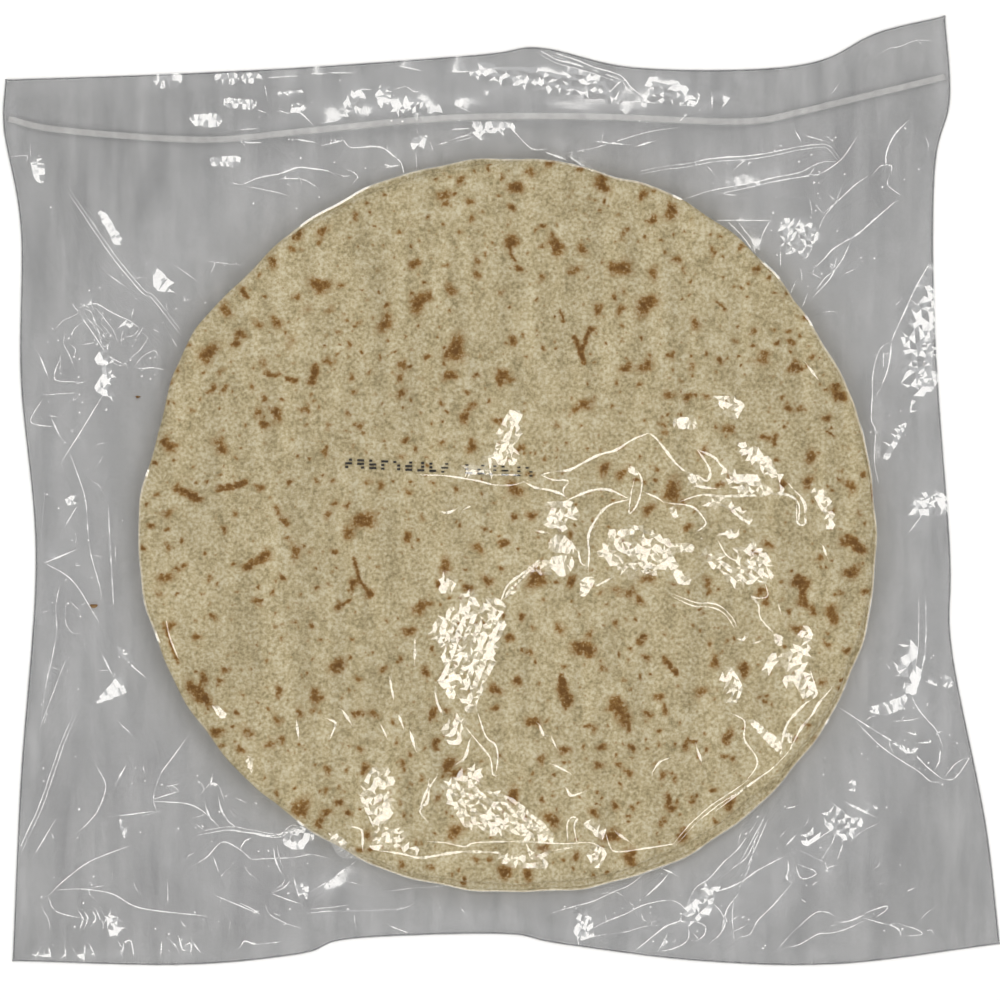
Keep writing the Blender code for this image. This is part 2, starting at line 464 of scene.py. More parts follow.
def add_node(
    tree: NodeTree,
    kind: str,
    settings: dict[str | int, object] | None = None,
    links: dict[str | int, NodeSocket | Node] | None = None,
) -> Node:
    """Add a shader node with its settings and links.

    Args:
        tree: the tree it goes into.
        kind: Blender's name of the node type, after the word ShaderNode.
        settings: values by the name or number of a socket, or by the name of a property.
            "stops" holds the place and colour of each stop of a colour ramp, in rising order.
        links: what feeds a socket, by its name or number: an output, or the first one of a
            node.

    Returns:
        The node.
    """
    node = tree.nodes.new(f"ShaderNode{kind}")
    for key, value in (settings or {}).items():
        if key == "stops":
            elements = node.color_ramp.elements
            while len(elements) < len(value):
                elements.new(1.0)
            for element, (place, colour) in zip(elements, value):
                element.position, element.color = place, colour
        elif isinstance(key, int) or key in node.inputs:
            node.inputs[key].default_value = value
        else:
            setattr(node, key, value)
    for key, source in (links or {}).items():
        output = source.outputs[0] if isinstance(source, Node) else source
        tree.links.new(output, node.inputs[key])
    return node


def new_material(name: str) -> tuple[Material, Callable[..., Node]]:
    """Make a material with an empty node tree.

    Args:
        name: its name.

    Returns:
        The material, and add_node() for its tree.
    """
    material = bpy.data.materials.new(name)
    material.use_nodes = True
    material.node_tree.nodes.clear()
    return material, partial(add_node, material.node_tree)


@dataclass(frozen=True)
class PolyethyleneFilm:
    """Blown low-density polyethylene film of a food bag.

    A clear film sends back a share of what it faces at every angle, as a weak mirror does,
    and lets the rest through. So it greys what lies under it, and it flashes white where a
    fold turns towards a lamp. alpha is that share, and it varies in long streaks of haze.
    """

    name: str = "polyethylene film, blown"
    tint: str = "#DFE0E2"
    share: float = 0.315
    haze: float = 0.05
    roughness: float = 0.10
    grain: float = 2.2
    grain_height: float = 0.006
    streak: float = 7.0

    def build(self) -> Material:
        """Make the material."""
        material, add = new_material(self.name)
        place = add("TexCoord").outputs["Object"]
        # Fine die lines and handling marks: 2 mm apart, a few thousandths deep.
        marks = {"Scale": 1 / (self.grain * MM), "Detail": 2.0, "Roughness": 0.5}
        grain = add("TexNoise", marks, {"Vector": place})
        depth = {"Strength": 1.0, "Distance": self.grain_height * MM}
        bump = add("Bump", depth, {"Height": grain})
        # Haze: streaks 7 mm wide and six times as long, drawn the way the film was blown.
        blown = {"Rotation": (0.0, 0.0, math.radians(12)), "Scale": (1.0, 0.16, 1.0)}
        drawn = add("Mapping", blown, {"Vector": place})
        haze = {"Scale": 1 / (self.streak * MM), "Detail": 4.0, "Roughness": 0.6}
        streaks = add("TexNoise", haze, {"Vector": drawn})
        shares = {"To Min": self.share - self.haze, "To Max": self.share + self.haze}
        alpha = add("MapRange", {"From Min": 0.3, "From Max": 0.7, **shares}, {"Value": streaks})
        gloss = {"Base Color": linear(self.tint), "Metallic": 1.0, "Roughness": self.roughness}
        surface = add("BsdfPrincipled", gloss, {"Normal": bump, "Alpha": alpha})
        add("OutputMaterial", links={"Surface": surface})
        return material


@dataclass(frozen=True)
class MilkyPolyethylene:
    """Extruded low-density polyethylene, thick enough to look milky.

    The closure's ridges are a millimetre of it, so they scatter light and read as a pale
    band between two sheets of clear film.
    """

    name: str = "polyethylene, extruded"
    shade: str = "#FAFAFA"
    share: float = 0.50
    roughness: float = 0.35
    draw_mark: float = 3.0

    def build(self) -> Material:
        """Make the material."""
        material, add = new_material(self.name)
        place = add("TexCoord").outputs["Object"]
        # Draw marks of the die: streaks 3 mm long at most, a seventh darker.
        marks = {"Scale": 1 / (self.draw_mark * MM), "Detail": 3.0}
        streaks = add("TexNoise", marks, {"Vector": place})
        stops = [(0.35, linear(self.shade, 0.86)), (0.65, linear(self.shade))]
        colour = add("ValToRGB", {"stops": stops}, {"Fac": streaks})
        gloss = {"Roughness": self.roughness, "IOR": 1.51, "Alpha": self.share}
        surface = add("BsdfPrincipled", gloss, {"Base Color": colour})
        add("OutputMaterial", links={"Surface": surface})
        return material


@dataclass(frozen=True)
class MattCoat:
    """A matt coat in two shades, which a noise blends.

    Attributes:
        name: name of the material.
        shades: the two colours.
        spread: values of the noise at which each of them is pure.
        grain: size of the noise.
        detail: how many finer noises lie over it.
        roughness: how matt it is.
    """

    name: str
    shades: tuple[str, str]
    spread: tuple[float, float]
    grain: float
    detail: float
    roughness: float

    def build(self) -> Material:
        """Make the material."""
        material, add = new_material(self.name)
        place = add("TexCoord").outputs["Object"]
        spots = {"Scale": 1 / (self.grain * MM), "Detail": self.detail}
        noise = add("TexNoise", spots, {"Vector": place})
        stops = list(zip(self.spread, map(linear, self.shades)))
        colour = add("ValToRGB", {"stops": stops}, {"Fac": noise})
        surface = add("BsdfPrincipled", {"Roughness": self.roughness}, {"Base Color": colour})
        add("OutputMaterial", links={"Surface": surface})
        return material


# Black solvent ink, sprayed on the film in dots by a coding machine. It dries flat and dull,
# with thin spots about half a millimetre across.
SPRAYED_INK = MattCoat("solvent ink, sprayed", ("#171412", "#332E28"), (0.4, 0.7), 0.5, 1.0, 0.55)
# Matt white paint under the bag, a plain pale ground with the texture of a roller, 4 mm apart.
FLOOR_PAINT = MattCoat("matt paint, rolled", ("#F4F5F7", "#F8F9FB"), (0.3, 0.7), 4.0, 2.0, 0.9)


@dataclass(frozen=True)
class BakedDough:
    """Par-baked wheat dough: pale, dry and dusty, with toasted blisters.

    The attribute toast says how far each place is baked: the dough turns from cream to tan
    and then to brown towards the middle of a blister. Noise of 1.5 mm breaks the edges of
    the spots, and pin-sized specks of bran and scorch lie between them. The mottles and
    grain that colour the dough are also its bump, so besides the dough's own uneven tone
    they paint shade into the bump's dips and light onto its rises.
    """

    name: str = "wheat dough, baked"
    # By the noise: pale lies on the bump's rises and shaded in its dips, painted light and painted
    # shade over the dough's own tone.
    pale: str = "#F7EFD2"
    dusty: str = "#DBCCA5"
    shaded: str = "#AC9F78"
    tan: str = "#BE9F68"
    brown: str = "#A57E45"
    dark: str = "#845D29"
    mottle: float = 8.0
    grain: float = 1.4
    speck_cell: float = 2.6
    speck_patch: float = 5.0
    toast_edge: float = 1.5
    relief: float = 0.25

    def build(self) -> Material:
        """Make the material."""
        material, add = new_material(self.name)
        place = {"Vector": add("TexCoord").outputs["Object"]}

        # Crumb and flour: mottles of 8 mm over a grain of 1.4 mm. The same noise is the bump's
        # height, so this ramp is also painted light: its darker stops are painted shade in the
        # bump's dips and its paler ones painted light on its rises.
        crumb_and_shade = {"Scale": 1 / (self.mottle * MM), "Detail": 3.0, "Roughness": 0.55}
        flour_and_shade = {"Scale": 1 / (self.grain * MM), "Detail": 2.0, "Roughness": 0.6}
        mottles, grain = add("TexNoise", crumb_and_shade, place), add("TexNoise", flour_and_shade, place)
        blend = add("Math", {"operation": "MULTIPLY_ADD", 1: 0.5}, {0: mottles, 2: grain})
        dough_and_shade_stops = zip((0.50, 0.74, 0.98), map(linear, (self.shaded, self.dusty, self.pale)))
        dough = add("ValToRGB", {"stops": list(dough_and_shade_stops)}, {"Fac": blend})

        # Specks of bran and scorch: one in each 2.6 mm cell, up to 0.8 mm across, where a
        # noise of 5 mm is high.
        cells = {"Scale": 1 / (self.speck_cell * MM), "Randomness": 1.0}
        specks = add("TexVoronoi", cells, place)
        patches = add("TexNoise", {"Scale": 1 / (self.speck_patch * MM), "Detail": 1.0}, place)
        size = add("Math", {"operation": "MULTIPLY_ADD", 1: 0.9, 2: -0.30}, {0: patches})
        within = add("Math", {"operation": "SUBTRACT"}, {0: size, 1: specks})
        speck_depth = {"From Min": -0.02, "From Max": 0.2, "To Min": 0.0, "To Max": 0.4}
        speck = add("MapRange", speck_depth, {"Value": within})

        # Toast: the attribute, made uneven by noise of 1.5 mm.
        toast = add("Attribute", {"attribute_name": "toast"}).outputs["Fac"]
        rags = {"Scale": 1 / (self.toast_edge * MM), "Detail": 3.0, "Roughness": 0.6}
        ragged = add("TexNoise", rags, place)
        edge = add("Math", {"operation": "MULTIPLY_ADD", 1: 3.0, 2: -0.5}, {0: ragged})
        broken = add("Math", {"operation": "MULTIPLY"}, {0: toast, 1: edge})
        baked = add("Math", {"operation": "MAXIMUM"}, {0: broken, 1: speck})
        stains = zip((0.12, 0.55, 0.95), map(linear, (self.tan, self.brown, self.dark)))
        stain = add("ValToRGB", {"stops": list(stains)}, {"Fac": baked})
        reach = {"From Min": 0.04, "From Max": 0.56, "To Min": 0.0, "To Max": 1.0}
        cover = add("MapRange", reach, {"Value": baked})
        colour = add("Mix", {"data_type": "RGBA"}, {0: cover, 6: dough, 7: stain})

        # Bump: the flour's grain over the crumb's mottles, a quarter of a millimetre in all. The
        # colour above paints shade into its dips and light onto its rises.
        bump = add("Bump", {"Strength": 0.7, "Distance": self.relief * MM}, {"Height": blend})
        matt = {"Roughness": 0.85, "IOR": 1.45, "Specular IOR Level": 0.3}
        surface = add(
            "BsdfPrincipled", matt, {"Base Color": colour.outputs[2], "Normal": bump}
        )
        add("OutputMaterial", links={"Surface": surface})
        return material


# Crusts ----------------------------------------------------------------------

CRUST_RADIUS = 151.5
CRUST_CENTRE = (3.1, -14.0)
CRUST_SLIP = (1.4, -1.1)
# The hand-stretched rim of the top crust: angle in degrees, and how far it is out or in.
RIM_WAVE = (
    (8, -1.4), (23, 0.4), (33, -1.8), (50, 0.3), (66, 1.4), (75, -2.0), (83, 1.4), (97, -2.9),
    (105, -1.8), (112, -3.2), (125, -1.4), (137, -1.8), (152, 2.7), (163, -2.0), (168, -1.2),
    (176, 2.0), (190, 3.1), (212, 1.2), (235, -0.7), (255, -1.2), (270, -2.6), (285, -0.4),
    (300, 0.2), (330, 1.4), (350, 0.8),
)
# The same for the two crusts under it, which show at the lower right.
LOWER_WAVE = (
    (0, -2.2), (15, -2.0), (30, -3.4), (45, -0.2), (75, 0.0), (90, 1.4), (105, 1.5), (120, 1.3),
    (135, 0.8), (150, -0.5), (180, -0.5), (240, -0.3), (255, -0.2), (270, -1.2), (285, 0.6),
    (300, 1.7), (315, 0.8), (330, 0.4), (345, -0.2),
)
# The top crust was measured in four parts of the view, each enlarged: one unit there is
# this many view units.
ENLARGED_UNIT = 380 / 1568


@dataclass(frozen=True)
class Quarter:
    """Toasted places in one enlarged part of the view.

    Attributes:
        corner: column and row of the part's upper left corner, in view units.
        spots: column, row, radius and depth of each blister; the depth is in tenths.
        scorches: radius and depth of each long mark, then columns and rows along it.
    """

    corner: tuple[float, float]
    spots: Route
    scorches: tuple[Route, ...]

    def places(self, pairs: Sequence[float]) -> Array:
        """Turn columns and rows of the enlarged part to places on the bag."""
        enlarged = np.array(pairs, dtype=float).reshape(-1, 2)
        return from_view(np.array(self.corner) + enlarged * ENLARGED_UNIT)

    def blisters(self) -> list[Array]:
        """Place, radius and depth of each blister, in rows of four.

        Formula: a spot's depth is the read one plus 1.5, over 11.5, so that the palest still
        show. A long scorch is an uneven row of slimmer blisters, each swayed off the line
        and swollen by sines of its number.
        """
        unit = ENLARGED_UNIT * VIEW_UNIT
        spots = np.array(self.spots, dtype=float).reshape(-1, 4)
        sizes = np.column_stack((spots[:, 2] * unit, (spots[:, 3] + 1.5) / 11.5))
        found = [np.column_stack((self.places(spots[:, :2]), sizes))]
        for radius, depth, *pairs in self.scorches:
            slim = 0.8 * radius * unit
            row = smooth_route(self.places(pairs), 0.5 * slim)
            number = np.arange(len(row))
            sway = 0.45 * slim * np.column_stack((np.sin(2.1 * number), np.cos(1.7 * number)))
            swell = slim * (1 + 0.35 * np.sin(1.3 * number + row[:, 0]))
            found.append(np.column_stack((row + sway, swell, np.full(len(row), depth / 18))))
        return found


# Toasted places of the top crust, as read in the four enlarged parts.
QUARTERS = (
    Quarter((140, 160), (
        745, 520, 32, 10, 752, 298, 22, 7, 660, 310, 20, 8, 740, 345, 11, 7, 628, 370, 15, 6,
        550, 420, 22, 8, 428, 545, 18, 9, 355, 620, 24, 8, 565, 672, 22, 8, 490, 680, 20, 5,
        418, 718, 20, 8, 400, 757, 19, 8, 283, 800, 34, 9, 335, 875, 15, 5, 780, 830, 18, 6,
        815, 805, 9, 6, 832, 518, 14, 6, 650, 568, 17, 6, 690, 620, 20, 3, 785, 620, 18, 4,
        1020, 600, 12, 8, 1015, 675, 30, 9, 1150, 590, 34, 10, 1195, 565, 14, 7, 1130, 433, 20, 8,
        1283, 538, 22, 8, 1305, 780, 38, 10, 1270, 805, 20, 6, 1185, 815, 13, 8, 1280, 890, 24, 9,
        1388, 890, 14, 6, 1390, 475, 18, 7, 1393, 420, 16, 6, 1425, 390, 10, 6, 1265, 437, 12, 6,
        1255, 150, 24, 7, 1265, 185, 16, 6, 1360, 175, 15, 8, 1322, 85, 18, 7, 1495, 75, 14, 6,
        1550, 115, 18, 8, 1535, 200, 13, 6, 1370, 245, 14, 6, 1437, 20, 9, 8, 1380, 50, 8, 6,
        1530, 340, 24, 7, 1560, 450, 12, 6, 1490, 550, 15, 4, 1540, 745, 16, 6, 890, 230, 14, 7,
        1010, 145, 9, 6, 1070, 300, 12, 5, 865, 765, 14, 6, 905, 673, 12, 6, 855, 665, 10, 5,
        820, 712, 12, 6, 625, 750, 28, 3, 515, 845, 16, 4, 500, 830, 14, 3, 305, 942, 16, 7,
        350, 945, 15, 7, 465, 935, 14, 5, 515, 985, 15, 7, 590, 990, 11, 6, 490, 1040, 17, 7,
        565, 1045, 25, 9, 515, 1090, 22, 8, 690, 1030, 20, 5, 665, 1030, 12, 4, 740, 1022, 9, 6,
        860, 1048, 13, 6, 910, 1100, 14, 7, 778, 1098, 14, 5, 875, 900, 14, 6, 885, 960, 12, 6,
        945, 880, 10, 5, 1080, 850, 22, 4, 1090, 840, 12, 6, 1075, 900, 16, 6, 1080, 965, 20, 7,
        1350, 960, 12, 7, 1375, 1010, 15, 7, 1440, 997, 10, 7, 1340, 1062, 22, 9,
        1243, 1005, 13, 6, 1480, 1078, 18, 7, 1495, 890, 22, 6, 1485, 920, 14, 7,
        1370, 1182, 22, 9, 1245, 1168, 16, 5, 1137, 1195, 11, 7, 1095, 1155, 15, 5,
        1080, 1225, 14, 5, 765, 1210, 14, 7, 125, 1180, 28, 8, 105, 1160, 14, 7, 330, 1170, 26, 6,
        340, 1200, 18, 7, 495, 1352, 17, 8, 620, 1330, 13, 7, 730, 1325, 13, 5, 795, 1325, 13, 5,
        995, 1345, 17, 6, 940, 1330, 18, 4, 1105, 1370, 16, 4, 1305, 1360, 13, 6,
        1208, 1330, 11, 7, 115, 1460, 19, 7, 47, 1510, 13, 9, 72, 1382, 11, 7, 65, 1250, 11, 8,
        30, 1420, 9, 7, 115, 1525, 11, 7, 568, 1443, 16, 8, 600, 1490, 18, 8, 350, 1525, 15, 7,
        395, 1462, 14, 5, 855, 1425, 14, 7, 805, 1418, 13, 7, 775, 1465, 16, 7, 932, 1490, 36, 9,
        910, 1470, 16, 6, 860, 1545, 18, 5, 1165, 1478, 13, 4, 1320, 1510, 10, 6,
        1425, 1525, 11, 8, 1545, 1470, 13, 6, 1105, 1555, 15, 7, 495, 478, 10, 6, 205, 765, 11, 6,
        160, 870, 13, 5, 130, 920, 13, 5, 215, 1035, 14, 4, 250, 988, 8, 5, 265, 880, 8, 5,
        120, 1000, 9, 6, 1480, 150, 10, 5, 1320, 300, 10, 6, 1410, 215, 10, 5, 970, 275, 8, 5,
        720, 995, 9, 5, 630, 1155, 8, 4, 225, 1268, 9, 4, 1150, 685, 8, 6, 1045, 880, 10, 3,
        1160, 905, 12, 3,
    ), (
        (15, 9, 150, 1355, 205, 1378, 250, 1402), (12, 8, 320, 1360, 390, 1348, 440, 1330),
        (9, 6, 515, 880, 550, 890, 578, 884), (9, 8, 605, 902, 625, 908, 650, 912),
        (14, 9, 725, 850, 722, 885, 708, 922), (6, 5, 1525, 345, 1530, 385, 1550, 420),
    )),
    Quarter((500, 150), (
        68, 157, 24, 9, 50, 240, 14, 7, 130, 95, 18, 6, 110, 92, 9, 6, 205, 60, 16, 8,
        330, 82, 13, 8, 418, 148, 28, 9, 425, 120, 16, 9, 588, 188, 18, 9, 583, 140, 7, 6,
        632, 170, 10, 7, 705, 257, 28, 9, 632, 290, 17, 9, 605, 295, 8, 6, 665, 375, 8, 6,
        48, 380, 22, 8, 78, 492, 14, 7, 148, 330, 10, 6, 182, 315, 8, 7, 235, 312, 8, 5,
        172, 400, 12, 6, 233, 400, 30, 10, 338, 412, 20, 9, 312, 495, 22, 5, 290, 510, 12, 5,
        172, 530, 16, 6, 510, 345, 14, 5, 505, 375, 10, 4, 505, 490, 34, 8, 470, 480, 20, 5,
        420, 465, 9, 5, 630, 510, 24, 6, 728, 455, 17, 8, 755, 495, 12, 5, 785, 545, 8, 7,
        780, 600, 7, 7, 875, 415, 14, 6, 905, 360, 10, 6, 715, 350, 8, 5, 995, 400, 14, 6,
        1058, 495, 17, 8, 1108, 530, 11, 7, 995, 572, 8, 6, 1185, 590, 10, 8, 1258, 695, 12, 9,
        405, 660, 20, 8, 498, 660, 18, 8, 600, 645, 38, 9, 610, 620, 16, 8, 805, 720, 22, 7,
        925, 660, 10, 5, 510, 590, 18, 3, 470, 600, 14, 3, 1045, 750, 18, 5, 1128, 745, 9, 7,
        1187, 750, 11, 7, 1235, 768, 8, 7, 1142, 798, 12, 8, 1200, 795, 16, 8, 968, 790, 12, 5,
        1090, 840, 18, 6, 1080, 870, 24, 5, 850, 842, 9, 7, 905, 868, 14, 7, 935, 862, 8, 6,
        982, 852, 8, 6, 785, 850, 8, 6, 710, 850, 15, 6, 790, 895, 18, 5, 520, 902, 22, 8,
        602, 892, 26, 8, 575, 968, 12, 7, 480, 962, 10, 6, 745, 953, 10, 5, 1210, 895, 22, 9,
        1235, 905, 14, 8, 1285, 855, 12, 7, 695, 1012, 22, 6, 773, 1020, 18, 8, 850, 1018, 14, 6,
        1008, 930, 7, 5, 1343, 992, 9, 8, 1393, 1010, 26, 9, 1385, 975, 12, 7, 1410, 1020, 14, 7,
        1162, 1022, 10, 7, 1185, 1065, 16, 8, 1238, 1068, 16, 6, 1347, 1108, 16, 9, 52, 790, 17, 6,
        178, 820, 12, 6, 10, 930, 24, 6, 45, 950, 16, 5, 345, 1052, 26, 7, 310, 1075, 14, 5,
        385, 1030, 14, 4, 375, 745, 18, 6, 940, 1152, 20, 8, 1085, 1185, 16, 7, 1135, 1185, 16, 7,
        1130, 1215, 10, 6, 1110, 1195, 10, 6, 1280, 1268, 26, 7, 1268, 1372, 22, 9,
        1445, 1385, 24, 7, 1500, 1338, 14, 7, 675, 1135, 12, 6, 680, 1170, 12, 6, 235, 1138, 14, 5,
        85, 1232, 18, 7, 183, 1275, 11, 6, 428, 1318, 24, 7, 498, 1340, 20, 8, 708, 1410, 38, 9,
        645, 1320, 12, 6, 640, 1362, 10, 7, 60, 1400, 30, 8, 130, 1508, 18, 9, 58, 1515, 12, 7,
        610, 1485, 22, 8, 1370, 1490, 12, 7, 905, 1380, 16, 7, 835, 1245, 18, 8, 1165, 1380, 16, 9,
        775, 1555, 16, 9, 1135, 1280, 12, 7, 1480, 1500, 14, 5,
    ), (
        (5, 7, 245, 665, 255, 685, 264, 712), (9, 9, 305, 770, 330, 830, 348, 885),
        (8, 6, 370, 735, 350, 790, 338, 830), (4, 6, 1345, 1160, 1362, 1172, 1380, 1185),
        (4, 5, 890, 625, 910, 642, 930, 660),
    )),
    Quarter((140, 520), (
        860, 55, 22, 6, 15, 115, 10, 10, 175, 85, 12, 6, 120, 110, 18, 5, 185, 188, 14, 7,
        160, 205, 10, 5, 105, 238, 26, 7, 80, 305, 18, 4, 450, 190, 20, 9, 515, 150, 26, 9,
        490, 170, 14, 8, 610, 75, 12, 6, 645, 130, 28, 6, 805, 132, 13, 8, 705, 130, 14, 3,
        1105, 72, 18, 8, 1395, 115, 22, 6, 1500, 95, 15, 8, 1260, 190, 26, 8, 1230, 265, 12, 9,
        1352, 280, 18, 9, 1435, 250, 20, 9, 1155, 365, 28, 7, 1200, 345, 14, 4, 1490, 200, 11, 7,
        1345, 205, 8, 6, 590, 238, 13, 8, 550, 300, 12, 7, 730, 280, 12, 6, 780, 265, 10, 5,
        880, 255, 16, 7, 950, 308, 18, 8, 818, 358, 17, 8, 290, 240, 14, 6, 260, 305, 10, 5,
        485, 335, 17, 8, 305, 400, 14, 6, 560, 385, 8, 5, 640, 420, 10, 6, 710, 435, 14, 6,
        560, 440, 10, 5, 585, 490, 9, 6, 130, 435, 18, 8, 237, 482, 16, 7, 1020, 415, 9, 5,
        1110, 460, 22, 8, 1240, 350, 8, 5, 1205, 530, 11, 7, 1525, 485, 14, 8, 1500, 395, 10, 7,
        1075, 575, 13, 7, 1178, 625, 18, 9, 1005, 612, 16, 6, 820, 605, 28, 9, 810, 585, 14, 7,
        870, 565, 8, 6, 900, 655, 14, 6, 690, 632, 8, 6, 715, 572, 8, 5, 525, 580, 12, 4,
        355, 618, 16, 7, 265, 655, 20, 8, 332, 662, 14, 7, 215, 690, 26, 9, 245, 715, 20, 9,
        270, 740, 26, 10, 575, 705, 18, 7, 722, 715, 20, 9, 735, 740, 20, 6, 715, 785, 14, 5,
        660, 795, 18, 7, 570, 825, 20, 6, 895, 800, 17, 8, 965, 800, 18, 7, 1045, 835, 12, 6,
        1210, 795, 20, 9, 1265, 785, 14, 6, 1465, 698, 22, 9, 1465, 775, 16, 6, 1560, 660, 14, 8,
        320, 875, 22, 9, 385, 850, 8, 6, 400, 795, 12, 7, 445, 875, 24, 6, 425, 720, 14, 3,
        540, 925, 18, 7, 588, 905, 14, 9, 340, 930, 12, 7, 415, 945, 16, 9, 910, 945, 15, 6,
        1115, 965, 13, 6, 1220, 920, 17, 9, 1175, 940, 8, 6, 1060, 915, 10, 7, 1085, 1003, 14, 7,
        930, 1022, 18, 9, 855, 1030, 10, 6, 775, 1030, 16, 8, 1275, 1005, 26, 10,
        1310, 1045, 22, 10, 565, 1125, 12, 7, 640, 1105, 8, 6, 768, 1115, 14, 5, 670, 1190, 34, 8,
        640, 1175, 18, 6, 770, 1205, 20, 7, 825, 1163, 15, 9, 860, 1205, 15, 8, 740, 1250, 18, 9,
        1230, 1145, 16, 6, 1165, 1065, 12, 6, 1540, 1130, 22, 8, 1075, 1165, 10, 6,
        1090, 1215, 10, 6, 1300, 1285, 30, 8, 905, 1360, 12, 9, 940, 1300, 20, 6, 950, 1360, 12, 7,
        1200, 1430, 16, 6, 1080, 1420, 14, 8, 1505, 1450, 24, 8, 1385, 1400, 14, 6,
        1340, 1478, 10, 9, 1290, 1460, 8, 6, 1450, 1400, 10, 6,
    ), (
        (6, 7, 883, 155, 895, 200, 903, 235, 880, 262, 875, 290),
        (6, 7, 905, 245, 935, 285, 955, 310), (5, 6, 872, 328, 845, 345, 820, 360),
        (6, 5, 100, 420, 125, 500, 160, 590),
    )),
    Quarter((500, 520), (
        15, 95, 16, 9, 290, 60, 14, 8, 145, 235, 34, 9, 170, 250, 20, 8, 295, 250, 20, 10,
        232, 255, 12, 6, 180, 330, 10, 6, 325, 390, 8, 6, 88, 400, 15, 5, 135, 445, 12, 5,
        243, 450, 20, 6, 40, 485, 15, 8, 475, 425, 14, 7, 535, 300, 20, 7, 575, 330, 18, 8,
        480, 290, 22, 4, 415, 300, 12, 5, 610, 240, 26, 6, 855, 255, 18, 8, 715, 265, 12, 5,
        860, 300, 12, 7, 1100, 100, 22, 6, 1045, 135, 14, 8, 1230, 255, 26, 9, 1270, 265, 14, 7,
        1250, 345, 20, 9, 1290, 375, 16, 8, 1190, 378, 12, 8, 1365, 385, 28, 9, 1380, 410, 14, 7,
        1225, 450, 22, 7, 1450, 215, 28, 9, 1450, 85, 24, 8, 1480, 115, 22, 9, 1410, 95, 18, 6,
        1320, 155, 16, 6, 1505, 295, 16, 8, 1405, 300, 13, 6, 1095, 335, 16, 9, 1075, 295, 20, 8,
        1350, 515, 13, 8, 1430, 540, 14, 8, 1480, 430, 6, 5, 1330, 670, 16, 7, 1405, 660, 8, 9,
        1395, 695, 10, 8, 1375, 750, 8, 7, 1280, 905, 10, 7, 120, 545, 15, 7, 145, 585, 8, 7,
        68, 665, 16, 8, 265, 605, 12, 5, 345, 530, 34, 9, 320, 520, 18, 8, 372, 545, 16, 9,
        370, 470, 16, 6, 425, 612, 16, 6, 590, 480, 15, 9, 578, 505, 14, 8, 535, 530, 9, 7,
        605, 568, 16, 7, 490, 550, 8, 5, 510, 660, 10, 6, 885, 585, 22, 8, 865, 510, 14, 5,
        935, 500, 10, 5, 1005, 618, 24, 9, 825, 710, 24, 6, 655, 730, 17, 9, 735, 685, 8, 6,
        680, 787, 14, 9, 610, 800, 18, 7, 655, 870, 10, 7, 1095, 750, 8, 7, 1120, 760, 8, 5,
        250, 710, 16, 8, 260, 660, 14, 7, 270, 750, 22, 9, 255, 690, 12, 8, 480, 740, 20, 8,
        490, 780, 28, 9, 520, 820, 24, 9, 530, 860, 14, 8, 455, 775, 16, 8, 138, 830, 24, 9,
        355, 850, 10, 7, 390, 862, 14, 6, 265, 948, 18, 10, 420, 935, 17, 8, 405, 1010, 17, 8,
        545, 938, 15, 8, 170, 985, 20, 6, 345, 935, 10, 6, 655, 925, 10, 6, 600, 905, 8, 6,
        765, 932, 16, 9, 800, 915, 12, 8, 850, 948, 11, 8, 945, 885, 20, 8, 930, 910, 16, 8,
        920, 975, 10, 7, 960, 985, 12, 7, 488, 1007, 12, 8, 530, 1042, 16, 8, 205, 1080, 8, 5,
        135, 1045, 8, 8, 55, 1138, 22, 8, 172, 1152, 11, 9, 215, 1235, 28, 9, 475, 1178, 17, 8,
        388, 1205, 18, 9, 545, 1185, 12, 6, 530, 1220, 10, 7, 420, 1145, 8, 6, 670, 1052, 18, 6,
        720, 1070, 12, 7, 690, 1140, 16, 8, 705, 1190, 16, 9, 695, 1165, 14, 8, 795, 1150, 16, 7,
        875, 1112, 13, 8, 730, 1160, 9, 7, 668, 1248, 16, 7, 945, 1170, 22, 9, 890, 1245, 12, 7,
        755, 1300, 24, 9, 460, 1300, 30, 9, 535, 1390, 30, 9, 315, 1385, 16, 8, 180, 1350, 18, 9,
        260, 1400, 9, 6, 115, 1460, 22, 9, 20, 1450, 22, 7, 385, 1465, 10, 7, 440, 1450, 8, 8,
    ), (
        (10, 8, 675, 565, 700, 600, 728, 638), (12, 9, 1430, 70, 1470, 110, 1495, 130),
        (12, 9, 1225, 232, 1240, 270, 1250, 330), (7, 5, 85, 410, 92, 400, 100, 390),
        (13, 9, 250, 650, 265, 700, 290, 755),
    )),
)


class FineSide(Enum):
    """Which face of a crust is the finer one."""

    UP = "up"
    DOWN = "down"


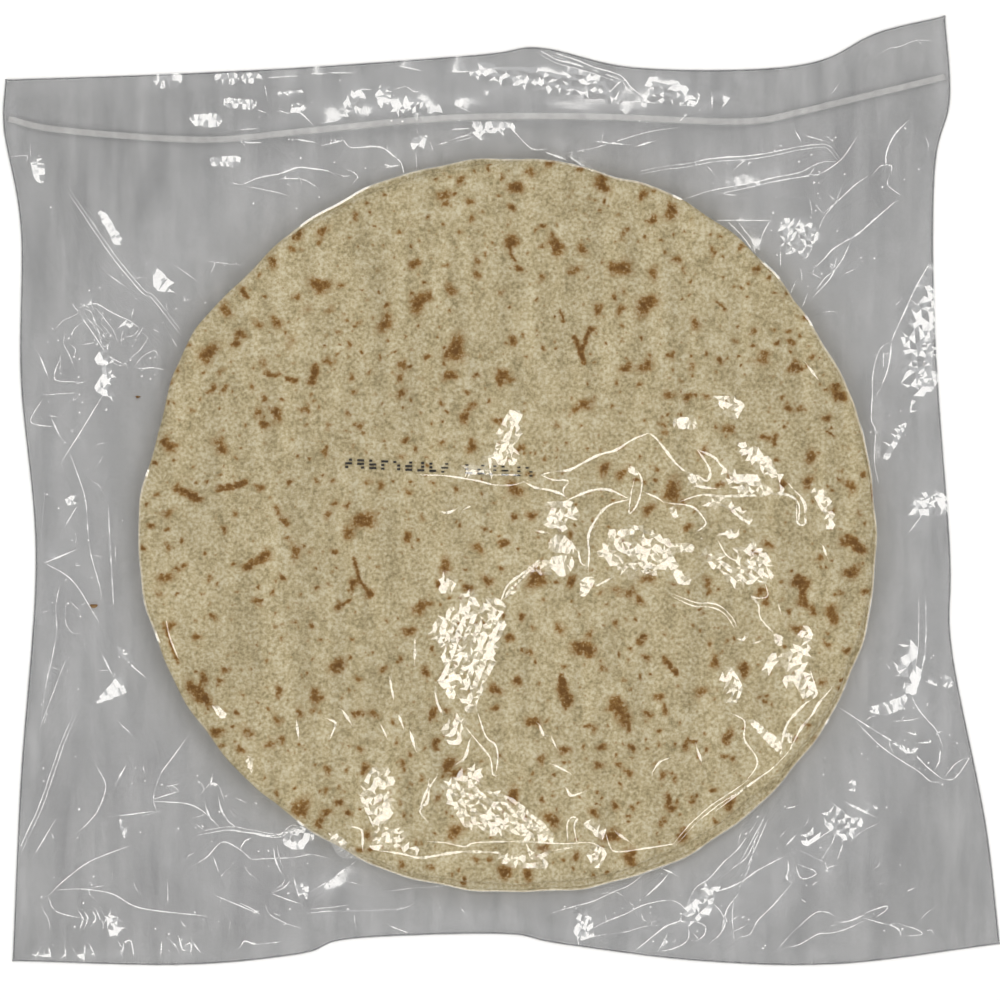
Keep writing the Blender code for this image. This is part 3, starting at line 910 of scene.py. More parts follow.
@dataclass
class Crust:
    """One thin round of baked dough.

    Attributes:
        name: name of the piece.
        layer: 0 is the top crust; each one below it is slipped.
        underside: height of its flat face.
        lattice: spacing of the plain mesh between the blisters.
        strewn: how many blisters are strewn over it, besides those that were measured.
        fine_side: which face has the blisters.
        thickness: distance between its faces.
        swell: height of the top crust's slow ripple.
        rim_points: mesh points round the rim.
        edge_round: width of the rounding at the rim.
        edge_drop: how far the rounding goes down.
        blister_rise: height of a blister.
        bell_reach: how far a blister's bell is followed, in radii.
        bell_fall: how fast the bell falls: its exponent at one radius.
        lobes: how much the radius swings in two lobes and in three.
        spots: place, radius and depth from 0 to 1 of each blister, in rows of four.
    """

    name: str
    layer: int
    underside: float
    lattice: float
    strewn: int
    fine_side: FineSide = FineSide.UP
    thickness: float = 2.85
    swell: float = 0.4
    rim_points: int = 720
    edge_round: float = 3.2
    edge_drop: float = 1.15
    blister_rise: float = 0.16
    bell_reach: float = 2.6
    bell_fall: float = 0.85
    lobes: tuple[float, float] = (0.26, 0.16)
    spots: Array = field(init=False)

    def __post_init__(self) -> None:
        """List the measured blisters of the top crust and strew the rest.

        Formula: a strewn blister's distance from the middle is the root of an even share of
        the area, so that they lie evenly. On the lower crusts two of five are large.
        """
        found = []
        if self.layer == 0:
            for quarter in QUARTERS:
                found += quarter.blisters()
        random = np.random.default_rng(40 + self.layer)
        for _ in range(self.strewn):
            angle, reach = random.uniform(0, math.tau), math.sqrt(random.uniform(0, 0.985))
            x, y = self.centre + CRUST_RADIUS * reach * compass(angle)
            small = self.layer == 0 or random.uniform() < 0.6
            radius = random.uniform(0.45, 0.95) if small else random.uniform(1.0, 2.6)
            found.append(np.array([(x, y, radius, random.uniform(0.35, 0.8 if small else 1))]))
        self.spots = np.vstack(found)

    @property
    def centre(self) -> Array:
        """Middle of the crust: the top one's, plus the slip for each layer below it."""
        return np.array(CRUST_CENTRE) + self.layer * np.array(CRUST_SLIP)

    def rim_radius(self, angle: Array) -> Array:
        """Radius at each angle.

        Formula: the mean radius, plus the rim's wave averaged over 8 degrees, plus a fine
        unevenness of half a millimetre.

        Args:
            angle: angles in radians.

        Returns:
            The radii.
        """
        wave = np.array(LOWER_WAVE if self.layer else RIM_WAVE, dtype=float).T
        turned = [(np.degrees(angle) + lag) % 360 for lag in (-4, 0, 4)]
        swing = np.mean([np.interp(degrees, *wave, period=360) for degrees in turned], axis=0)
        fine = 0.3 * np.sin(23 * angle + self.layer) + 0.2 * np.sin(41 * angle + 2.0)
        return CRUST_RADIUS + swing + fine

    def rim(self, angle: Array, shift: float = 0.0) -> Array:
        """Places at angles in radians, shifted outwards from the rim."""
        return self.centre + (self.rim_radius(angle) + shift)[:, None] * compass(angle)

    def beyond(self, places: Array) -> Array:
        """How far each place lies outside the rim, below zero inside it."""
        away_x, away_y = np.moveaxis(places - self.centre, -1, 0)
        return np.hypot(away_x, away_y) - self.rim_radius(np.arctan2(away_y, away_x))

    def top(self, places: Array) -> Array:
        """Height of the fine face at places, with a ripple 60 mm long on the top crust."""
        swell = self.swell * ripple(places, 60, 11) if self.layer == 0 else 0.0
        return self.underside + self.thickness + swell

    def bake(self, places: Array) -> Array:
        """How toasted each place is.

        Formula: each blister adds a bell whose radius swings in two and three lobes, and
        the bells are joined as one minus the product of what each leaves pale.

        Args:
            places: (n, 2) places.

        Returns:
            0 for pale dough to 1 for the middle of a blister.
        """
        random = np.random.default_rng(60 + self.layer)
        pale = np.ones(len(places))
        for x, y, radius, depth in self.spots:
            phases = random.uniform(0, math.tau, 2)
            offset = places - (x, y)
            near = np.flatnonzero((np.abs(offset) < self.bell_reach * radius).all(axis=1))
            dx, dy = offset[near].T
            angle = np.arctan2(dy, dx)
            size = radius * np.ones(len(near))
            for count, swing, phase in zip((2, 3), self.lobes, phases):
                size += radius * swing * np.sin(count * angle + phase)
            bell = np.exp(-self.bell_fall * (np.hypot(dx, dy) / size) ** 2)
            pale[near] *= 1 - depth * bell
        return 1 - pale

    def seeds(self) -> Array:
        """Where the fine face has its mesh points inside the rim.

        Formula: a staggered lattice, rings just inside the rim, and three rings of points
        round the middle of each blister at 0.5, 1 and 1.6 of its radius; the smallest
        blisters have only the first of the three.
        """
        count = math.ceil(2.2 * CRUST_RADIUS / self.lattice)
        plain = staggered(self.lattice, count, count) + self.centre
        parts = [plain[self.beyond(plain) < -self.edge_round - 0.5 * self.lattice]]
        for inset in (0.3, 0.8, 1.5, 2.3, self.edge_round):
            parts.append(self.rim(circle(self.rim_points // 2) + inset, -inset))
        for reach, points, turn in ((0.0, 1, 0.0), (0.5, 6, 0.0), (1.0, 8, 0.3), (1.6, 9, 0.6)):
            spots = self.spots if points < 8 else self.spots[self.spots[:, 2] > 0.7]
            for way in compass(circle(points) + turn):
                parts.append(spots[:, :2] + spots[:, 2:3] * reach * way)
        seeds = np.vstack(parts)
        return seeds[self.beyond(seeds) < -0.25]

    def build(self, dough: Material) -> Piece:
        """Make the crust.

        Formula: the fine face is triangles between the seeds, with blisters and ripples of
        7 and 3.4 mm. The side is rings round the rim, and the other face is rings that shrink
        to one middle point.

        Args:
            dough: its finish.

        Returns:
            The piece.
        """
        angle = circle(self.rim_points)
        edge = self.rim(angle)
        places, faces, kept = fill_outline(np.vstack((edge, self.seeds())), self.rim_points)
        now_at = {old: new for new, olds in enumerate(kept) for old in olds}
        rim = np.array([now_at[old] for old in range(self.rim_points)])
        toast = self.bake(places)
        inset = np.maximum(-self.beyond(places), 0)
        rounding = self.edge_drop * np.clip(1 - inset / self.edge_round, 0, 1) ** 2
        blister = self.blister_rise * toast * ease(inset, 1, 4)
        grain = 0.1 * ripple(places, 7, 21 + self.layer) + 0.05 * ripple(places, 3.4, 25)
        z = self.top(places) - rounding + blister + grain * ease(inset, 0, 2)

        # Rings from the fine face's rim to the far face: outward shift, share of height.
        rings = ((0.35, 0.62), (0.45, 0.3), (0.2, 0.1), (-0.5, 0.0), (-9.0, 0.0), (-60.0, 0.0))
        points, toasts = [np.column_stack((places, z))], [toast]
        depth = z[rim] - self.underside
        for shift, level in rings:
            ring = edge + shift * compass(angle)
            wobble = 0.12 * ripple(ring, 6, 31) * (level > 0)
            points.append(np.column_stack((ring, self.underside + depth * level + wobble)))
            toasts.append(toast[rim] * (shift > -1) + 0.05)
        points.append(np.array([(*self.centre, self.underside)]))
        toasts.append(np.zeros(1))
        middle = len(z) + len(rings) * self.rim_points
        index = np.vstack((rim, np.arange(len(z), middle).reshape(len(rings), -1)))
        faces += walls(index)[:, [0, 3, 2, 1]].tolist() + fan(index[-1, ::-1], middle)
        corners = np.vstack(points)
        if self.fine_side is FineSide.DOWN:
            corners[:, 2] = 2 * self.underside + self.thickness - corners[:, 2]
            faces = [face[::-1] for face in faces]
        baked = {"toast": np.concatenate(toasts)}
        return add_piece(self.name, corners, faces, dough, "crust", baked)


@dataclass(frozen=True)
class CrustStack:
    """The three crusts, from the top one down, each slipped towards the lower right."""

    crusts: tuple[Crust, ...] = (
        Crust("crust_top", 0, 6.0, 1.55, 620),
        Crust("crust_middle", 1, 3.1, 3.0, 260),
        Crust("crust_bottom", 2, 0.3, 2.2, 620, FineSide.DOWN),
    )

    def build(self, dough: Material) -> list[Piece]:
        """Make every crust."""
        return [crust.build(dough) for crust in self.crusts]

    def beyond(self, places: Array) -> Array:
        """How far each place lies outside the nearest rim."""
        return np.min([crust.beyond(places) for crust in self.crusts], axis=0)


# Film ------------------------------------------------------------------------

# The closure, from left to right across the bag.
ZIP_LINE = np.array(
    (
        (-206.9, 155.2), (-184.0, 150.2), (-125.6, 146.1), (-84.0, 149.4), (-42.3, 153.6),
        (-9.0, 155.6), (41.0, 155.6), (99.4, 153.6), (124.4, 157.7), (145.2, 162.7),
        (184.8, 172.3),
    )
)


@dataclass(frozen=True)
class FoldShape:
    """Cross-section of a crease.

    Attributes:
        face: width of a face that is turned to the lamps.
        crown: width of the level top between two such faces. Without a crown there is one
            face, and the sheet sinks back slowly behind it.
    """

    face: float
    crown: float = 0.0


class Fold(Enum):
    """How a crease reads from above, from the finest to the widest."""

    HAIR = FoldShape(0.45)
    LINE = FoldShape(0.72)
    BOLD = FoldShape(1.1)
    TWIN = FoldShape(0.55, 1.1)
    HOLLOW = FoldShape(0.7, 2.6)


# Creases by kind: columns and rows along each, in view units.
CREASES: dict[Fold, tuple[Route, ...]] = {
    Fold.HAIR: (
        (176, 266, 197, 281), (209, 262, 242, 266), (43, 395, 76, 393), (45, 488, 41, 543),
        (66, 599, 66, 622, 73, 633, 81, 633), (50, 660, 40, 728), (66, 660, 40, 728),
        (163, 810, 140, 817), (201, 794, 211, 783, 219, 785, 224, 798), (168, 880, 168, 903),
        (394, 90, 406, 87, 414, 92, 422, 91), (416, 154, 417, 169), (248, 187, 273, 192, 288, 196),
        (843, 184, 835, 203, 824, 217, 818, 231), (879, 54, 891, 48, 899, 47, 915, 41, 930, 41),
        (828, 261, 832, 269, 837, 257), (780, 252, 780, 267), (755, 839, 750, 864, 739, 887),
        (734, 898, 732, 916, 734, 939), (668, 933, 661, 946, 657, 952),
        (600, 894, 625, 887, 646, 873, 664, 867), (278, 848, 280, 859, 283, 866),
        (580, 941, 600, 935, 625, 932, 646, 926, 664, 925), (311, 909, 333, 907, 347, 905),
        (340, 882, 351, 882, 361, 885), (390, 891, 411, 888, 427, 887, 454, 885),
        (265, 903, 270, 914, 286, 923, 301, 928), (566, 154, 596, 148, 646, 133, 679, 128),
        (124, 358, 128, 368), (10, 157, 27, 156, 26, 163), (101, 909, 107, 920, 108, 929),
        (43, 909, 49, 920, 50, 929), (140, 329, 136, 334, 130, 337, 125, 336),
        (88, 307, 94, 317, 97, 327, 101, 336, 102, 344),
        (94, 306, 102, 315, 107, 322, 114, 331, 119, 344), (57, 328, 63, 321, 72, 317, 79, 313),
        (65, 335, 64, 344, 69, 354, 74, 366), (103, 355, 106, 363, 102, 368),
        (111, 361, 121, 366, 130, 359, 140, 351, 145, 344, 148, 338, 141, 332),
        (136, 366, 143, 357, 155, 351, 159, 357), (832, 803, 847, 814, 861, 827),
        (851, 841, 862, 831, 877, 824), (61, 360, 60, 372), (84, 322, 74, 330, 72, 340),
        (84, 310, 88, 319, 95, 326, 99, 334), (83, 308, 92, 313, 95, 322, 103, 331),
        (98, 330, 101, 341, 105, 347, 112, 341), (97, 318, 94, 326, 98, 332),
        (101, 324, 108, 331, 112, 336), (70, 344, 76, 350, 73, 358),
    ),
    Fold.LINE: (
        (103, 396, 81, 432, 63, 460), (61, 356, 55, 379, 76, 382), (41, 402, 31, 422, 53, 427),
        (71, 455, 85, 496, 88, 526, 91, 553, 101, 589, 101, 599), (77, 507, 66, 525),
        (45, 563, 73, 581, 99, 621), (60, 586, 56, 606, 57, 631, 53, 655, 48, 679),
        (55, 821, 35, 854), (98, 768, 106, 786, 99, 809, 89, 822, 80, 831), (118, 816, 154, 811),
        (187, 738, 174, 756, 161, 774, 154, 797, 156, 808), (154, 799, 176, 792, 181, 791),
        (154, 801, 185, 803, 199, 808, 210, 817, 219, 826), (109, 275, 123, 285),
        (192, 866, 207, 857, 222, 842, 237, 847, 249, 857), (214, 857, 219, 872),
        (48, 896, 66, 879, 91, 861, 129, 846), (48, 896, 56, 911, 80, 918),
        (56, 890, 83, 889, 113, 894, 141, 908, 207, 916), (217, 896, 260, 914),
        (79, 308, 96, 304, 109, 311, 121, 317, 132, 322, 140, 329), (799, 850, 822, 861),
        (79, 309, 84, 320, 91, 330, 99, 342, 106, 353), (844, 801, 861, 809, 874, 816),
        (112, 341, 108, 347, 111, 357, 123, 364), (134, 367, 141, 369, 153, 368, 165, 370),
        (454, 105, 469, 112), (398, 66, 422, 71), (606, 97, 618, 84, 626, 80),
        (618, 101, 650, 103, 696, 107), (513, 131, 531, 149, 546, 150),
        (281, 179, 303, 180, 316, 187), (346, 170, 354, 173, 358, 178, 353, 184),
        (268, 78, 298, 76), (329, 73, 354, 73), (265, 86, 267, 97), (257, 110, 266, 113),
        (279, 111, 290, 114), (240, 130, 258, 129), (806, 136, 824, 141),
        (686, 199, 712, 191, 749, 184, 774, 178, 799, 173, 813, 166, 824, 162, 836, 162),
        (720, 194, 749, 188, 774, 182, 809, 176, 820, 174, 836, 164, 845, 155, 857, 137),
        (874, 173, 881, 166, 891, 166, 891, 173), (868, 176, 854, 186, 840, 199, 823, 214),
        (888, 179, 888, 186, 900, 195), (851, 240, 843, 258, 835, 270, 828, 281, 814, 296),
        (828, 263, 835, 269, 824, 279, 816, 290), (717, 221, 728, 221, 770, 221),
        (728, 223, 742, 237, 753, 252), (738, 223, 744, 231, 751, 240, 755, 254),
        (770, 221, 763, 233, 759, 246), (790, 223, 807, 229, 809, 237, 801, 237),
        (795, 240, 801, 250, 804, 259, 811, 250, 816, 231), (795, 282, 790, 294),
        (807, 294, 802, 307), (883, 353, 883, 368), (922, 515, 913, 527, 909, 532),
        (891, 342, 881, 348, 875, 362, 872, 379, 872, 394, 871, 420, 875, 431, 874, 461, 878, 483),
        (893, 721, 910, 720, 918, 718), (910, 693, 918, 709, 928, 721, 936, 730, 942, 745),
        (856, 722, 875, 741, 887, 751, 902, 761, 918, 771, 930, 781, 941, 782),
        (942, 779, 953, 779, 963, 768, 971, 755), (947, 774, 954, 765, 963, 759),
        (807, 846, 837, 825, 846, 816), (821, 860, 833, 840, 835, 829), (837, 860, 843, 843),
        (745, 871, 757, 843, 767, 820), (740, 861, 750, 843, 762, 820),
        (790, 885, 773, 905, 757, 921, 750, 934, 740, 937),
        (795, 864, 801, 878, 813, 876, 815, 871, 797, 864),
        (780, 946, 796, 929, 815, 913, 826, 912, 835, 916),
        (864, 913, 886, 906, 886, 910, 876, 917),
        (786, 948, 800, 944, 818, 934, 830, 933, 846, 929, 863, 921),
        (864, 918, 886, 924, 898, 923), (902, 925, 916, 929, 922, 934, 907, 936),
        (754, 825, 738, 848, 723, 862, 709, 878, 696, 887, 688, 901),
        (764, 816, 755, 839, 746, 857, 732, 868), (738, 894, 727, 909, 721, 932),
        (713, 903, 721, 912, 725, 923, 720, 934, 711, 942),
        (695, 921, 705, 926, 704, 935, 696, 941), (688, 921, 688, 939, 675, 948, 657, 952),
        (548, 914, 571, 907, 593, 901, 614, 892, 623, 896),
        (593, 928, 607, 921, 625, 914, 643, 905, 666, 900, 679, 903, 689, 914),
        (577, 937, 580, 950), (251, 859, 272, 858, 294, 857, 311, 854, 326, 857),
        (240, 831, 251, 832, 276, 835, 294, 828, 301, 826), (242, 850, 251, 859),
        (271, 893, 285, 887, 290, 880), (271, 893, 290, 900, 302, 904),
        (356, 861, 336, 875, 324, 887), (351, 866, 317, 888),
        (308, 913, 330, 911, 347, 911, 397, 909, 411, 905), (240, 903, 251, 908, 261, 915),
        (420, 475, 447, 476, 478, 481, 495, 485, 513, 485, 526, 481), (493, 475, 519, 475),
        (541, 475, 553, 480, 568, 481, 563, 490, 566, 498), (578, 549, 581, 563, 588, 566),
        (626, 466, 634, 468, 641, 478, 641, 491, 636, 506, 629, 513, 631, 493, 634, 480),
        (463, 510, 471, 506), (478, 713, 486, 736, 495, 744, 498, 756, 496, 772),
        (466, 727, 478, 742, 490, 757, 493, 774, 498, 775), (551, 736, 556, 747),
        (670, 757, 659, 762, 652, 772),
        (429, 841, 445, 842, 465, 846, 476, 842, 520, 841, 563, 843, 589, 842, 604, 848),
        (552, 850, 571, 847), (568, 841, 567, 825, 571, 817, 577, 818, 574, 826, 577, 843),
        (606, 834, 609, 844, 616, 851, 643, 848, 675, 843),
        (716, 810, 729, 800, 755, 780, 774, 766, 789, 750),
        (667, 503, 692, 507, 705, 521, 703, 527, 696, 532), (646, 493, 657, 498, 664, 503),
        (718, 541, 726, 555, 738, 562),
        (765, 584, 767, 596, 756, 598, 751, 596, 758, 605, 760, 618, 772, 632, 776, 641),
        (731, 713, 744, 721, 744, 739, 755, 755, 756, 766, 746, 780), (753, 643, 760, 641),
        (778, 605, 780, 612), (796, 504, 797, 523, 805, 523, 803, 504, 795, 492),
        (787, 483, 795, 492, 805, 504, 804, 522), (381, 724, 387, 737),
        (167, 621, 170, 635, 174, 646, 179, 658), (907, 891, 914, 888),
    ),
    Fold.BOLD: (
        (52, 419, 60, 436), (45, 563, 76, 550), (109, 505, 110, 533, 114, 604),
        (128, 662, 146, 677), (104, 657, 113, 675), (122, 725, 131, 733), (126, 766, 116, 783),
        (206, 806, 211, 819), (219, 798, 222, 810, 229, 821, 236, 826), (213, 774, 211, 785),
        (40, 356, 48, 376), (321, 124, 339, 120, 346, 110, 353, 96, 359, 90, 371, 90),
        (451, 72, 469, 72), (311, 74, 325, 74), (290, 113, 300, 113, 312, 124),
        (613, 96, 619, 105), (696, 105, 700, 95), (712, 96, 712, 106), (722, 107, 730, 98),
        (245, 143, 262, 143), (298, 140, 316, 143), (323, 146, 343, 141),
        (343, 139, 351, 148, 373, 147, 384, 149, 393, 156, 401, 163, 404, 173, 407, 177),
        (439, 145, 447, 143), (452, 130, 470, 129), (546, 153, 565, 160), (570, 158, 594, 173),
        (243, 185, 260, 178, 281, 174, 298, 168, 311, 169, 326, 171, 333, 174),
        (386, 168, 399, 166), (596, 142, 624, 145), (636, 147, 652, 142), (795, 131, 801, 141),
        (907, 122, 897, 132, 890, 143, 886, 155, 886, 168),
        (895, 202, 874, 220, 858, 234, 846, 241, 832, 250, 825, 258, 816, 267),
        (780, 223, 786, 233, 780, 248),
        (932, 259, 921, 278, 913, 293, 903, 315, 895, 332, 891, 342),
        (891, 342, 890, 356, 887, 371, 882, 384), (933, 278, 926, 298), (932, 292, 927, 304),
        (912, 400, 910, 413), (925, 681, 937, 686), (940, 750, 939, 761, 936, 767),
        (843, 710, 866, 725, 887, 738, 902, 747, 915, 755, 927, 767, 942, 779),
        (907, 732, 916, 735), (918, 743, 931, 742), (911, 750, 919, 748), (965, 724, 966, 731),
        (846, 803, 872, 816), (786, 845, 797, 833), (786, 808, 795, 806),
        (784, 856, 759, 869, 743, 880, 729, 887, 711, 894, 693, 912, 679, 921, 666, 926, 652, 937,
         641, 946, 632, 953), (788, 860, 788, 871, 786, 878, 793, 883),
        (838, 922, 849, 921, 864, 915), (886, 923, 898, 929, 901, 936),
        (646, 896, 661, 882, 668, 873), (664, 869, 673, 873), (241, 848, 245, 841, 251, 838),
        (274, 848, 276, 860, 282, 874), (294, 877, 297, 889, 299, 896),
        (240, 948, 245, 941, 256, 944, 279, 942), (390, 926, 411, 934), (419, 932, 433, 941),
        (461, 908, 464, 912),
        (649, 433, 632, 440, 616, 450, 599, 455, 583, 463, 569, 470, 553, 472, 541, 475),
        (649, 433, 657, 440, 668, 454, 675, 463, 686, 473),
        (526, 483, 536, 488, 549, 490, 563, 495, 568, 500),
        (568, 500, 579, 495, 594, 490, 609, 490, 627, 498),
        (627, 500, 612, 504, 602, 511, 592, 526, 588, 538, 589, 553, 588, 568),
        (536, 531, 548, 533), (445, 514, 455, 510), (596, 586, 611, 578),
        (501, 600, 508, 585, 523, 573, 533, 565, 539, 560), (435, 691, 438, 704, 443, 714),
        (470, 739, 465, 757, 456, 764), (539, 724, 544, 736), (553, 764, 569, 772),
        (566, 787, 571, 795, 582, 792), (437, 776, 428, 789, 423, 800, 420, 809),
        (360, 794, 367, 810, 374, 826), (352, 826, 362, 830, 363, 848),
        (429, 780, 428, 800, 420, 810, 426, 819),
        (379, 850, 401, 853, 419, 857, 436, 855, 454, 852, 472, 851, 520, 853),
        (616, 832, 629, 841), (706, 553, 720, 565, 732, 580),
        (810, 671, 815, 688, 815, 695, 806, 702, 789, 720, 783, 734, 780, 755),
        (831, 688, 818, 703, 811, 715, 801, 727, 795, 738, 789, 750), (740, 641, 745, 638),
        (696, 746, 701, 761), (822, 545, 826, 556), (686, 473, 692, 484, 701, 487, 717, 489),
        (697, 450, 706, 463, 710, 473, 706, 481, 697, 475),
        (697, 450, 713, 457, 721, 466, 730, 473),
        (681, 501, 701, 495, 717, 496, 738, 496, 767, 495, 787, 495, 798, 504, 798, 522),
        (807, 366, 817, 379), (343, 710, 352, 724), (329, 719, 336, 723, 331, 737),
        (297, 721, 299, 737), (390, 678, 394, 699), (399, 715, 404, 728), (410, 730, 415, 747),
        (415, 639, 415, 660), (36, 957, 40, 949), (44, 957, 45, 948), (51, 957, 49, 948),
        (66, 956, 65, 947), (73, 948, 78, 957), (85, 957, 85, 945), (95, 955, 90, 945),
        (79, 911, 83, 919, 80, 929), (84, 911, 88, 918, 85, 927), (93, 911, 96, 918, 93, 924),
        (97, 911, 101, 920), (105, 922, 111, 912), (112, 918, 118, 924), (118, 926, 124, 933),
        (122, 956, 124, 943), (124, 942, 131, 941, 134, 956), (161, 955, 162, 941),
        (166, 936, 176, 946, 179, 953), (179, 936, 182, 948, 184, 951),
        (191, 953, 191, 943, 184, 946), (192, 941, 201, 953),
    ),
    Fold.TWIN: (
        (71, 194, 101, 238, 119, 263, 144, 292, 154, 298, 179, 330),
        (75, 715, 63, 743, 55, 766, 40, 809, 21, 851, 18, 874),
        (199, 833, 229, 828, 251, 831, 279, 835, 294, 826, 306, 835),
        (536, 50, 555, 61, 573, 66, 596, 73, 618, 81),
        (546, 52, 573, 61, 596, 70, 619, 77, 629, 88, 641, 98), (454, 141, 480, 135, 513, 131),
        (638, 174, 662, 169, 687, 166, 712, 161, 749, 158, 774, 154, 797, 149, 820, 146, 829, 148,
         838, 159), (675, 843, 693, 823, 714, 805, 732, 793, 750, 780),
        (674, 596, 694, 604, 710, 605, 721, 609, 730, 618, 735, 627),
    ),
    Fold.HOLLOW: (
        (922, 599, 922, 620, 921, 651, 916, 678, 914, 686),
    ),
}

# Shards: small facets that stand up from the film as low roofs, by their corners.
SHARDS: tuple[Route, ...] = (
    (152, 74, 184, 72, 180, 90, 156, 88), (214, 74, 238, 72, 240, 84, 216, 86),
    (242, 73, 262, 74, 262, 83, 242, 84), (222, 98, 259, 100, 255, 110, 224, 108),
    (189, 115, 224, 113, 220, 128, 192, 126), (209, 158, 242, 156, 240, 168, 211, 166),
    (30, 157, 46, 160, 44, 186, 34, 180), (96, 210, 106, 212, 125, 243, 116, 247),
    (152, 262, 184, 293, 154, 292), (373, 90, 394, 87, 390, 104, 381, 111),
    (409, 138, 430, 134, 422, 153, 414, 153), (276, 92, 308, 90, 300, 96, 280, 97),
    (290, 103, 305, 104, 300, 108, 292, 107), (909, 419, 899, 440, 888, 460, 880, 458, 882, 437),
    (927, 333, 934, 345, 930, 384, 918, 380, 917, 358),
    (856, 709, 887, 702, 910, 692, 903, 708, 885, 716),
    (927, 673, 942, 678, 948, 670, 954, 681, 951, 690, 938, 684),
    (888, 740, 902, 745, 918, 755, 905, 753), (847, 780, 856, 780, 855, 793, 849, 790),
    (872, 806, 878, 803, 876, 812),
    (320, 821, 333, 830, 345, 839, 356, 849, 360, 860, 349, 857, 340, 858, 332, 846, 329, 832),
    (300, 879, 309, 886, 307, 901, 303, 892), (626, 466, 636, 468, 639, 476, 630, 474),
    (561, 531, 573, 543, 578, 553, 563, 553, 549, 552, 549, 540),
    (549, 556, 563, 555, 577, 556, 570, 574, 561, 577, 549, 567),
    (544, 557, 531, 566, 522, 577, 508, 590, 501, 600, 516, 592, 531, 576),
    (581, 575, 596, 578, 589, 593, 579, 598), (581, 821, 589, 819, 607, 825, 602, 843, 593, 832),
    (668, 506, 674, 506, 680, 522, 673, 518),
    (692, 532, 706, 539, 722, 533, 739, 525, 739, 537, 722, 540, 706, 545),
    (772, 632, 783, 637, 781, 646, 774, 644),
    (746, 720, 755, 720, 767, 730, 781, 741, 780, 755, 767, 743, 756, 730),
    (786, 732, 793, 734, 791, 745, 787, 742), (684, 472, 695, 474, 700, 484, 692, 486),
    (673, 418, 696, 417, 696, 430, 673, 428), (211, 704, 220, 706, 229, 716, 220, 718),
    (245, 755, 254, 757, 252, 778),
    (500, 793, 512, 797, 526, 808, 545, 824, 556, 836, 540, 832, 518, 815),
    (56, 485, 63, 500, 75, 495, 86, 502, 74, 505, 62, 507), (120, 674, 134, 691, 91, 706),
    (118, 816, 129, 824, 126, 841, 121, 832), (116, 644, 126, 650, 133, 664, 120, 656),
)


@dataclass(frozen=True)
class Crumple:
    """A patch of film crushed into many small facets.

    Attributes:
        outline: corners of the patch, in view units.
        facet: spacing of the facets' corners.
        slope: typical slope of a facet, as rise over run.
        heading: direction in degrees along which the facets are drawn out.
        stretch: how much longer than wide they are.
        jitter: how far a corner strays, as a share of the spacing.
    """

    outline: Route
    facet: float = 1.1
    slope: float = 0.42
    heading: float = 70.0
    stretch: float = 2.0
    jitter: float = 0.27

    def corners(self, random: Random) -> tuple[Array, Array]:
        """Corners of the facets and how far each stands above the loose sheet.

        Formula: of the rows of corners along the heading, one is low and the next two are
        high, so that two of three rows of facets have about the wanted slope and the third
        is level. The corners are staggered and jittered.

        Args:
            random: the source of its unevenness.

        Returns:
            (n, 2) places and their n heights.
        """
        outline = from_view(self.outline)
        middle = outline.mean(axis=0)
        heading = math.radians(self.heading)
        axes = compass(np.array((heading, heading + math.pi / 2)))
        scale = np.array((self.stretch, 1.0)) * self.facet
        local = (outline - middle) @ axes.T / scale
        low, high = np.floor(local.min(axis=0)) - 1, np.ceil(local.max(axis=0)) + 2
        across, up = np.meshgrid(np.arange(low[0], high[0]), np.arange(low[1], high[1]))
        level = np.minimum(up % 3, 1).ravel()
        places = np.column_stack(((across + 0.5 * (up % 2)).ravel(), up.ravel()))
        places += random.uniform(-self.jitter, self.jitter, places.shape)
        swing = 0.95 * self.slope * self.facet
        heights = swing * (0.4 + level + random.uniform(-0.28, 0.28, len(level)))
        places = places * scale @ axes + middle
        keep = inside_outline(places, outline)
        return places[keep], heights[keep]


